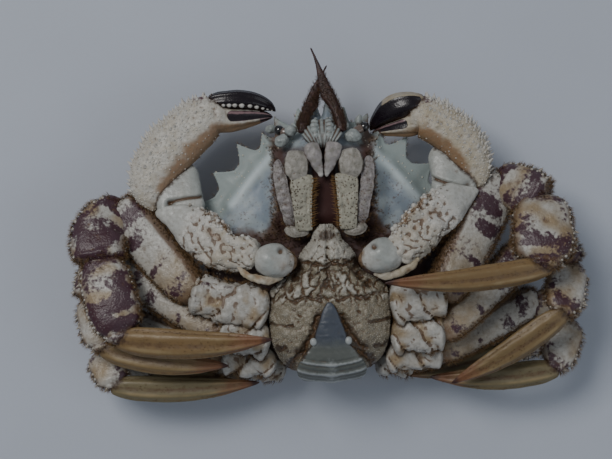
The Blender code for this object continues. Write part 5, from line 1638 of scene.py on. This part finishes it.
# Abdomen
# The narrow flap of a male, smooth blue-grey shell in six rings, folded forward over the sternum from the
# rear edge of the body, with a white knob on either side.
ABDOMEN = (
    ((-17.0, 38.0), 0.5, 0.4), ((-17.6, 38.1), 1.2, 0.8), ((-19.6, 38.2), 2.4, 1.2),
    ((-22.6, 37.9), 3.5, 1.4), ((-26.6, 37.5), 5.0, 1.5), ((-30.0, 36.9), 5.9, 1.5),
    ((-32.6, 36.4), 8.0, 1.5), ((-35.4, 35.6), 10.0, 1.6), ((-38.2, 33.8), 11.3, 1.6),
    ((-40.2, 31.4), 11.4, 1.6), ((-41.6, 28.4), 10.6, 1.5), ((-42.6, 24.6), 10.0, 1.4),
    ((-43.0, 20.0), 10.2, 1.2), ((-42.8, 15.6), 10.2, 0.9),
)
ABDOMEN_SEAMS = (-23.4, -27.6, -31.4, -35.4, -38.4, -41.0)
ABDOMEN_KNOB = (5.7, -29.6, 37.9)
KNOB_HALF_SIZES = (1.15, 1.35, 1.0)
ABDOMEN_BLUE = (0.062, 0.074, 0.098)
ABDOMEN_GREY = (0.112, 0.122, 0.112)
ABDOMEN_PALE = (0.34, 0.36, 0.36)
ABDOMEN_SHADOW_AND_SEAM_BROWN = (0.040, 0.025, 0.016)


def abdomen_finish():
    """Smooth dark blue-grey shell, greyer towards the rear and pale on its ridges.

    A brown shadow line is painted at its edges, where it meets the sternum, and its seams are brown.
    """
    paint = Finish("abdomen_shell")
    rear = (paint.mark("rear") + paint.noise(3.0) * 0.6 - 0.3).step(0.1, 0.9)
    base = paint.mix(rear, ABDOMEN_BLUE, ABDOMEN_GREY)
    base = paint.mix((paint.noise(1.6, 4.0) - 0.35) * 0.6, base, tuple(0.45 * c for c in ABDOMEN_GREY))
    base = paint.mix(paint.ragged("pale", 1.2, 0.8, 0.3, 1.0), base, ABDOMEN_PALE)
    # painted shadow line at the side edges, and brown in the seams
    base = paint.mix(paint.ragged("rust", 1.5, 0.8, 0.3, 1.0) * 0.85, base, ABDOMEN_SHADOW_AND_SEAM_BROWN)
    normal = paint.bump(paint.noise(0.5), 0.06, paint.bump(paint.cells(0.7), 0.03))
    return paint.set(Base_Color=shaded_and_stained(paint, base), Roughness=paint.noise(1.6) * 0.3 + 0.24, Normal=normal)


def build_abdomen():
    places, half_widths, thicknesses = zip(*ABDOMEN)
    table = np.array([(y, z, w, t) for (y, z), w, t in zip(places, half_widths, thicknesses)])
    line = curve_through(table, 190)
    line[:, 3] = np.maximum(line[:, 3], 0.3)
    along = np.gradient(line[:, :2], axis=0)
    along /= np.linalg.norm(along, axis=1)[:, None]
    angle = np.arange(132) / 132 * 2 * math.pi
    across, rise = np.cos(angle), np.sin(angle)
    rings, pale, rust, rear = [], [], [], []
    for (y, z, half, thick), (dy, dz) in zip(line, along):
        wide = np.sign(across) * np.abs(across) ** 0.8
        bow = 1.1 * (1 - wide ** 2) * smooth((-30 - y) / 6)
        ahead = y + bow
        gap = min(abs(y - seam) for seam in ABDOMEN_SEAMS)
        gaps = np.min([np.abs(ahead - seam) for seam in ABDOMEN_SEAMS], axis=0)
        step, groove = bell(gaps, 0.0, 0.7), bell(gaps, 0.9, 0.45)
        late = smooth((-31.5 - y) / 5)
        place = np.stack([half * wide, y + 0 * wide, z + 0 * wide], 1)
        tube = bell(half * wide, 0.0, 3.6) * smooth((-24 - y) / 5)
        lift = thick * np.abs(rise) ** 0.7 * np.sign(rise)
        lift = lift + (rise > 0) * (0.24 * step * late + 0.08 * step - 0.16 * groove * late + 0.45 * tube)
        place += np.stack([0 * wide, dz * lift, -dy * lift], 1)
        rings.append(place)
        banded = (0.55 * late * step + 0.1 * step + 0.25 * late) * (rise > 0)
        pale.append(banded + 0.3 * tube * late - 0.3 * (gap > 9))
        # rust: a painted shadow line along the flap's side edges, and brown in the grooves of the seams
        rust.append(0.15 + 0.9 * bell(np.abs(wide), 1.0, 0.16) * smooth((y + 37) / 3) + 0.25 * groove * late)
        rear.append(np.full(132, float(smooth((-26 - y) / 8))))
    rings = np.array(rings)
    rings[..., 2] += 0.22 * lumps(rings, 3.5, 31) + 0.10 * lumps(rings, 1.2, 32)
    x = rings[..., 0]
    marks = {
        "pale": np.array(pale),
        "rust": np.array(rust),
        "rear": np.array(rear),
        "hair": 0.5 * (np.array(rust) > 0.6),
        "lie": np.stack([np.sign(x) * 0.8, 0 * x - 0.3, 0.3 + 0 * x], -1),
    }
    return skin("abdomen_skin", rings, marks, abdomen_shell)


def ball_skin(name, place, half_sizes, marks, finish, cell=(0, 0, 1), roughness=0.06, seed=1):
    """A rounded knob, its rings level, with swellings."""
    turn = np.linspace(0.06, math.pi - 0.06, 26)[:, None]
    angle = np.arange(36)[None] / 36 * 2 * math.pi
    wide = np.sin(turn)
    unit = np.stack([wide * np.cos(angle), wide * np.sin(angle), np.cos(turn) + 0 * angle], -1)
    at = unit * half_sizes + place
    swelling = roughness * (lumps(at, 1.3 + roughness, seed) + 0.4 * lumps(at, 0.7, seed + 1))
    rings = at + unit * swelling[..., None]
    return skin(name, rings, {"lie": unit, "hair": 0.0, **marks}, finish, cell)


abdomen_shell = abdomen_finish()
knob_marks = {"pale": 1.6, "rust": 0.0, "rear": 1.0}
parts = [build_abdomen()]
for sign in SIDES.values():
    place = np.array(ABDOMEN_KNOB) * (sign, 1, 1)
    parts.append(ball_skin("knob", place, KNOB_HALF_SIZES, knob_marks, abdomen_shell))
abdomen = joined("abdomen_shell", parts)
fixed(abdomen, "belly_shell", "abdomen")
haired("abdomen_fringe", abdomen, spacing=0.7, reach=1.4, seed=17)

# Mouth
# The outer mouth limbs: two pitted ischium plates with combs of golden bristles, rounded merus plates on
# them, narrow exopods outside and the folded palps that meet in a V.
# Stations of each plate: the middle line, the half widths on its outer and inner side, and its flatness
MOUTH_PLATES = {
    "ischium": (
        (7.2, 6.8, 31.4, 2.1, 2.1, 0.8), (7.2, 8.2, 32.0, 3.0, 2.8, 0.62),
        (7.2, 12.0, 32.6, 3.3, 2.9, 0.56), (7.2, 17.0, 32.9, 3.8, 3.2, 0.52),
        (7.3, 21.4, 33.0, 4.0, 3.8, 0.5), (7.3, 23.8, 32.9, 3.6, 3.9, 0.52),
        (7.2, 25.2, 32.4, 2.0, 2.8, 0.6),
    ),
    "merus": (
        (8.4, 23.6, 32.6, 1.8, 1.8, 0.8), (8.5, 24.6, 33.1, 3.0, 2.9, 0.62),
        (8.7, 26.8, 33.4, 4.2, 3.7, 0.5), (8.8, 29.2, 33.4, 4.2, 3.9, 0.48),
        (8.8, 31.4, 33.0, 3.4, 3.4, 0.52), (8.7, 33.0, 32.4, 1.8, 2.0, 0.7),
    ),
    "exopod": (
        (11.6, 8.0, 30.6, 1.0, 1.2, 0.8), (12.0, 11.0, 31.3, 2.0, 1.9, 0.6),
        (12.8, 15.0, 31.9, 2.3, 2.2, 0.55), (13.8, 20.0, 32.0, 2.4, 2.3, 0.54),
        (14.6, 25.0, 31.8, 2.2, 2.4, 0.56), (15.0, 28.4, 31.4, 1.5, 1.8, 0.7),
        (14.8, 30.6, 31.0, 0.6, 0.6, 0.9),
    ),
    "root": (
        (5.6, 7.0, 30.7, 1.1, 1.1, 0.85), (8.4, 6.3, 31.2, 1.9, 1.9, 0.8), (11.2, 6.6, 31.2, 1.9, 1.9, 0.8),
        (13.2, 8.2, 30.6, 1.0, 1.0, 0.85),
    ),
    "palp": (
        (4.6, 35.0, 33.3, 1.2, 2.2, 0.8), (4.1, 33.6, 33.9, 2.2, 3.4, 0.5),
        (3.2, 31.5, 34.3, 2.5, 2.9, 0.5), (2.5, 29.5, 34.4, 2.2, 2.3, 0.54),
        (1.8, 27.4, 34.3, 1.6, 1.6, 0.62), (1.2, 25.6, 34.0, 1.0, 1.0, 0.8),
        (0.8, 24.0, 33.7, 0.4, 0.4, 0.9),
    ),
}
# How square each plate's section is: 2 is an oval
PLATE_SQUARENESS = {"ischium": 2.9, "merus": 2.2, "exopod": 2.4, "root": 2.3, "palp": 2.5}
# How lilac, how pitted and how stained each plate is
PLATE_TONES = {
    "ischium": (0.0, 0.4, 0.22), "merus": (0.55, 0.25, 0.2), "exopod": (1.0, 0.5, 0.42),
    "root": (0.5, 0.3, 0.45), "palp": (0.95, 0.1, 0.1),
}
# Rows of bristles in the comb: their angle, how many and how long
COMB_ROWS = ((math.pi, 22, 2.1), (math.pi - 0.35, 18, 1.6), (math.pi - 0.7, 14, 1.2))
MOUTH_CREAM = (0.34, 0.325, 0.26)
MOUTH_LILAC = (0.27, 0.25, 0.25)
MOUTH_PALE = (0.46, 0.44, 0.42)
MOUTH_BROWN = (0.062, 0.030, 0.012)
MOUTH_GOLD = (0.24, 0.125, 0.038)


def mouth_finish():
    """Cream-green and lilac-grey plates with rows of dark pits, browned at the edges."""
    paint = Finish("mouth_shell")
    base = paint.mix(paint.mark("lilac"), MOUTH_CREAM, MOUTH_LILAC)
    base = paint.mix(paint.noise(1.7, 4.0).step(0.42, 0.7) * 0.6, base, tuple(0.5 * c for c in MOUTH_CREAM))
    base = paint.mix(paint.mark("pale"), base, MOUTH_PALE)
    pits = 1.0 - paint.cells(0.85).step(0.16, 0.42)
    base = paint.mix(pits * paint.mark("pitted") * 0.9, base, MOUTH_BROWN)
    base = paint.mix(paint.ragged("rust", 1.2, 1.0, 0.3, 0.95, 5.0) * 0.95, base, MOUTH_BROWN)
    base = paint.mix(paint.mark("golden"), base, MOUTH_GOLD)
    rough = paint.bump(paint.noise(1.3, 5.0), 0.26, paint.bump(1.0 - pits * paint.mark("pitted"), 0.16))
    normal = paint.bump(paint.noise(0.4), 0.09, rough)
    return paint.set(Base_Color=shaded_and_stained(paint, base), Roughness=paint.noise(1.2) * 0.35 + 0.25, Normal=normal)


def comb(length, seed):
    """Stout golden bristles in a row along the inner edge of the ischium."""
    chance = np.random.default_rng(seed)
    rows = []
    for angle, count, size in COMB_ROWS:
        place, away, along = edge_row(length, count, 0.08, 0.9, angle, chance, 0.1)
        size = size * chance.uniform(0.7, 1.2, count)
        rows.append((place, away + 0.25 * along + (0, 0, 0.15), np.stack([0.24 + 0 * size] * 2 + [size], 1)))
    marks = {"lilac": 0.0, "pitted": 0.0, "pale": 0.0, "golden": 1.0, "rust": 0.0, "hair": 0.0}
    return set_on("comb", spike, rows, marks, mouth_shell)


def mouth_relief(plate, seed):
    """Rough plates with ragged edges; the ischium has a furrow down its inner half."""
    def relief(share, angle, place):
        outer, top = np.cos(angle), np.sin(angle)
        ragged = 0.28 * lumps(place, 1.6, seed) + 0.16 * lumps(place, 0.8, seed + 1)
        ragged = ragged + 0.15 * lumps(place, 4.0, seed + 2)
        furrow = 0.45 * bell(outer, -0.3, 0.28) * (top > 0) * bell(share, 0.5, 0.5) * (plate == "ischium")
        border = 0.25 * bell(np.abs(outer), 0.84, 0.14) * (top > 0) * (plate != "palp")
        return ragged - furrow + border
    return relief


def mouth_paint(plate):
    """Each plate is stained at its edges and root; the ischium is pitted outside its furrow."""
    lilac, pits, stained = PLATE_TONES[plate]

    def paint(share, angle, place):
        outer, top = np.cos(angle), np.sin(angle)
        edge = smooth((np.abs(outer) - 0.8) / 0.2)
        pitted = pits + 0.6 * smooth(outer + 0.6) * (plate == "ischium")
        hair = 0.0
        if plate == "ischium":
            hair = 1.0 * (outer < -0.93) * (share < 0.93)
        if plate in ("exopod", "root"):
            hair = 0.35 * (np.abs(outer) > 0.93) + 0.5 * bell(share, 0.0, 0.2)
        rust = stained + 0.7 * edge + 0.4 * bell(share, 0.0, 0.08) + 0.35 * (top < -0.2)
        pale = smooth((share - 0.72) / 0.2) * (plate == "palp")
        return {"lilac": lilac, "pitted": pitted, "pale": pale, "rust": rust, "hair": hair, "lie_along": 0.1,
                "lie_out": 0.9}
    return paint


mouth_shell = mouth_finish()
for side, sign in SIDES.items():
    parts = []
    for index, (plate, stations) in enumerate(MOUTH_PLATES.items()):
        stations = np.array(stations) * (sign, 1, 1, 1, 1, 1)
        facing = sign if plate == "palp" else -sign
        length = tapered(stations, facing, PLATE_SQUARENESS[plate], mouth_relief(plate, 60 + index))
        cell = (index % 3, index // 3, 3)
        parts.append(length_skin(plate, length, 0.25, mouth_paint(plate), mouth_shell, 0.8, cell))
        if plate == "ischium":
            parts.append(comb(length, 70 + sign))
    limb = joined(f"mouth_limb_{side}", parts)
    fixed(limb, "belly_shell", f"maxilliped_{side}")
    haired(f"mouth_fringe_{side}", limb, spacing=0.5, reach=1.7, seed=18)

# Front
# The ridged plate between mouth and front, the two folded feelers on it, and the rounded roots of the
# antennae beside it, of bluish-white shell.
EPISTOME_STATIONS = (
    (0, 34.4, 30.0, 2.4, 2.4, 0.5), (0, 35.6, 31.2, 4.8, 4.8, 0.36), (0, 37.2, 31.2, 6.2, 6.2, 0.32),
    (0, 39.0, 30.0, 6.0, 6.0, 0.32), (0, 40.8, 28.2, 4.6, 4.6, 0.36), (0, 42.6, 26.2, 3.4, 3.4, 0.5),
)
RIDGES_MEET = (0.0, 30.0)
RIDGE_PITCH = 0.13
FEELER_STATIONS = (
    (1.5, 36.0, 31.6, 0.5, 0.5, 0.9), (2.0, 37.4, 32.3, 1.1, 1.1, 0.9), (2.5, 39.6, 31.8, 1.4, 1.4, 0.85),
    (2.4, 41.8, 30.2, 1.2, 1.2, 0.85), (1.9, 43.8, 28.4, 0.5, 0.5, 0.9),
)
# Rounded pale knobs of the front on each side: place and half sizes
FRONT_KNOBS = {
    "left": (
        ((-17.0, 41.0, 21.6), (1.8, 1.5, 1.5)), ((-10.4, 40.0, 27.8), (2.0, 1.9, 1.6)),
        ((-7.6, 42.6, 26.6), (1.2, 1.5, 1.4)), ((-13.6, 36.8, 28.2), (2.5, 2.1, 1.5)),
    ),
    "right": (
        ((7.1, 40.7, 27.6), (2.0, 1.7, 1.5)), ((4.9, 43.4, 26.4), (1.1, 1.3, 1.3)),
        ((10.4, 37.4, 28.2), (2.8, 2.2, 1.6)), ((12.6, 42.0, 24.2), (1.3, 2.9, 1.4)),
    ),
}
FEELER_RINGS = 5
FRONT_WHITE = (0.205, 0.225, 0.220)
FRONT_BROWN = (0.055, 0.026, 0.018)


def fan(place):
    """1 on the ridges that spread from behind the plate, 0 between them."""
    away = place[..., :2] - RIDGES_MEET
    return 0.5 + 0.5 * np.cos(2 * math.pi * np.arctan2(away[..., 0], away[..., 1]) / RIDGE_PITCH)


def epistome_relief(share, angle, place):
    return 0.45 * fan(place) * (np.sin(angle) > 0) + 0.14 * lumps(place, 1.5, 71)


def feeler_rings(share, angle, place):
    return 0.2 * np.cos(share * 2 * math.pi * FEELER_RINGS) + 0.1 * lumps(place, 1.0, 72)


def front_paint(share, angle, place):
    groove = smooth(1.0 - 1.4 * fan(place))
    rust = 0.25 + 0.65 * groove + 0.3 * bell(share, 0.0, 0.2)
    return {"purple": -1.0, "white": 0.9, "rust": rust, "grain_top": 0.0,
            "hair": 0.3 * bell(share, 0.0, 0.15), "lie_along": 0.6, "lie_out": 0.6}


def feeler_paint(share, angle, place):
    rings = smooth(-np.cos(share * 2 * math.pi * FEELER_RINGS))
    return {"purple": -1.0, "white": 1.0, "rust": 0.25 + 0.3 * rings, "grain_top": 0.0, "hair": 0.0,
            "lie_along": 0.6, "lie_out": 0.6}


front_pale = tuple(1.5 * c for c in FRONT_WHITE)
front_finish = shell_finish("front_shell", FRONT_WHITE, front_pale, FRONT_BROWN, LEG_PURPLE)
knob_marks = {"purple": -1.0, "white": 1.0, "rust": 0.22, "grain_top": 0.0}
epistome = tapered(EPISTOME_STATIONS, -1, 2.4, epistome_relief)
parts = [length_skin("epistome", epistome, 0.25, front_paint, front_finish, 1.0, (0, 0, 4))]
for side, sign in SIDES.items():
    feeler = tapered(np.array(FEELER_STATIONS) * (sign, 1, 1, 1, 1, 1), sign, 2.1, feeler_rings)
    parts.append(length_skin("feeler", feeler, 0.2, feeler_paint, front_finish, 0.6, (1 + (sign > 0), 0, 4)))
    for index, (place, half_sizes) in enumerate(FRONT_KNOBS[side]):
        cell = (index, 1 + (sign > 0), 4)
        seed = 5 * index + sign
        parts.append(ball_skin("front_knob", place, half_sizes, knob_marks, front_finish, cell, 0.4, seed))
epistome_piece = joined("epistome_shell", parts)
fixed(epistome_piece, "belly_shell", "epistome")
haired("front_fringe", epistome_piece, spacing=0.5, reach=1.4, seed=19)

# Eyes
# Short stalks of dull brown shell, each with a glossy black eyeball grown to its end, in the notches of the
# body's edge beside the front.
EYE_STALK = ((9.8, 38.6, 26.6), (11.8, 39.4, 25.8), (13.6, 40.2, 25.0))
EYE_PLACE = (14.2, 40.5, 24.8)
EYE_RADIUS = 1.7
STALK_WIDTHS = ((0.0, 1.0), (0.5, 1.4), (1.0, 1.5))
EYE_BLACK = (0.010, 0.009, 0.011)
STALK_BROWN = (0.13, 0.09, 0.07)


def eye_finish():
    """Glossy black, faintly faceted; the stalk is dull brown."""
    paint = Finish("eye")
    base = paint.mix(paint.mark("stalk"), EYE_BLACK, STALK_BROWN)
    normal = paint.bump(paint.cells(0.16), 0.012)
    rough = paint.mark("stalk") * 0.4 + 0.08
    return paint.set(Base_Color=base, Roughness=rough, Normal=normal, Coat_Weight=1.0)


def stalk_paint(share, angle, place):
    return {"stalk": 1.0, "hair": 0.0}


eye_glass = eye_finish()
for side, sign in SIDES.items():
    place = np.array(EYE_PLACE) * (sign, 1, 1)
    stalk = Length(curve_through(np.array(EYE_STALK) * (sign, 1, 1), 8), sign, STALK_WIDTHS, 0.95)
    parts = [
        ball_skin("eyeball", place, EYE_RADIUS, {"stalk": 0.0}, eye_glass, (0, 0, 2), 0.0),
        length_skin("stalk", stalk, 0.25, stalk_paint, eye_glass, 0.8, (1, 0, 2)),
    ]
    fixed(joined(f"eyeball_{side}", parts), "eye", f"eye_{side}")

# Antennae
# Two whips of dark maroon shell that lie forward from the front, thick and close-haired at the root and
# ringed beyond it. Each is one skin that thins to a point.
ANTENNAE = {
    "left": (
        (-6.4, 38.8, 29.2), (-6.3, 41.0, 28.6), (-5.4, 45.0, 26.6), (-3.9, 49.6, 25.0), (-1.6, 54.6, 24.2),
        (0.7, 58.4, 24.0), (2.6, 61.6, 24.0),
    ),
    "right": (
        (6.4, 38.8, 29.2), (6.3, 41.0, 28.8), (5.6, 45.0, 27.6), (4.3, 49.6, 27.0), (2.4, 54.6, 26.7),
        (0.5, 59.4, 26.4), (-1.1, 63.6, 26.0), (-2.6, 67.5, 25.6),
    ),
}
ANTENNA_RADII = (
    (0.0, 1.3), (0.1, 1.75), (0.22, 1.6), (0.26, 1.35), (0.42, 1.2), (0.48, 0.95), (0.66, 0.8), (0.8, 0.5),
    (1.0, 0.2),
)
# The half widths on the side that faces the other antenna, where their close hair meets
ANTENNA_INNER = (
    (0.0, 1.4), (0.1, 1.9), (0.24, 1.9), (0.34, 2.4), (0.44, 3.3), (0.56, 2.8), (0.68, 1.8), (0.84, 0.6),
    (1.0, 0.2),
)
ANTENNA_FLATNESS = ((0.0, 0.95), (0.26, 0.8), (0.44, 0.42), (0.6, 0.45), (0.84, 0.9), (1.0, 0.95))
ANTENNA_RINGS = 44
ANTENNA_MAROON = (0.030, 0.010, 0.009)
ANTENNA_BROWN = (0.075, 0.030, 0.022)


def antenna_finish():
    paint = Finish("antenna_shell")
    base = paint.mix(paint.noise(2.0).step(0.45, 0.7), ANTENNA_MAROON, ANTENNA_BROWN)
    return paint.set(Base_Color=base, Roughness=0.5, Normal=paint.bump(paint.noise(0.4), 0.06))


def antenna_rings(share, angle, place):
    rings = 0.07 * np.cos(share * 2 * math.pi * ANTENNA_RINGS) * smooth((share - 0.4) / 0.1)
    return rings + 0.08 * lumps(place, 1.0, 81)


def antenna_paint(share, angle, place):
    return {"hair": 1.0 - smooth((share - 0.5) / 0.3), "lie_along": 0.9, "lie_out": 0.5, "deep": 0.8}


antenna_shell = antenna_finish()
for side, sign in SIDES.items():
    path = curve_through(ANTENNAE[side], 60)
    antenna = Length(path, sign, ANTENNA_INNER, ANTENNA_FLATNESS, relief=antenna_rings, inner=ANTENNA_RADII)
    whip = length_skin(f"antenna_whip_{side}", antenna, 0.2, antenna_paint, antenna_shell, 0.6)
    fixed(whip, "antenna", f"antenna_{side}")
    haired(f"antenna_fringe_{side}", whip, spacing=0.55, reach=1.8, seed=20)

# Painted shade and grime
# Dark brown painted shade where two pieces almost touch, with brown dirt of the sea floor dried there.
# It is no piece of its own: every piece is marked with how near the others lie,
# and its finish turns brown there.
CREVICE_SHADE_REACH = 1.7


def crevices(pieces, reach):
    """Marks each corner of every piece with 1 where another piece touches it, down to 0 from reach away."""
    seen = bpy.context.evaluated_depsgraph_get()
    trees = [BVHTree.FromObject(piece, seen) for piece in pieces]
    places = []
    for piece in pieces:
        flat = np.empty(3 * len(piece.data.vertices))
        piece.data.vertices.foreach_get("co", flat)
        places.append(flat.reshape(-1, 3))
    for piece, place in zip(pieces, places):
        near = np.full(len(place), reach)
        for tree, other in zip(trees, places):
            if other is place:
                continue
            within = np.all((place > other.min(0) - reach) & (place < other.max(0) + reach), axis=1)
            for index in np.flatnonzero(within).tolist():
                gap = tree.find_nearest(place[index].tolist(), near[index])[3]
                if gap is not None:
                    near[index] = gap
        marked(piece.data, "near", 1 - near / reach)


crevices(shells, CREVICE_SHADE_REACH * MM)
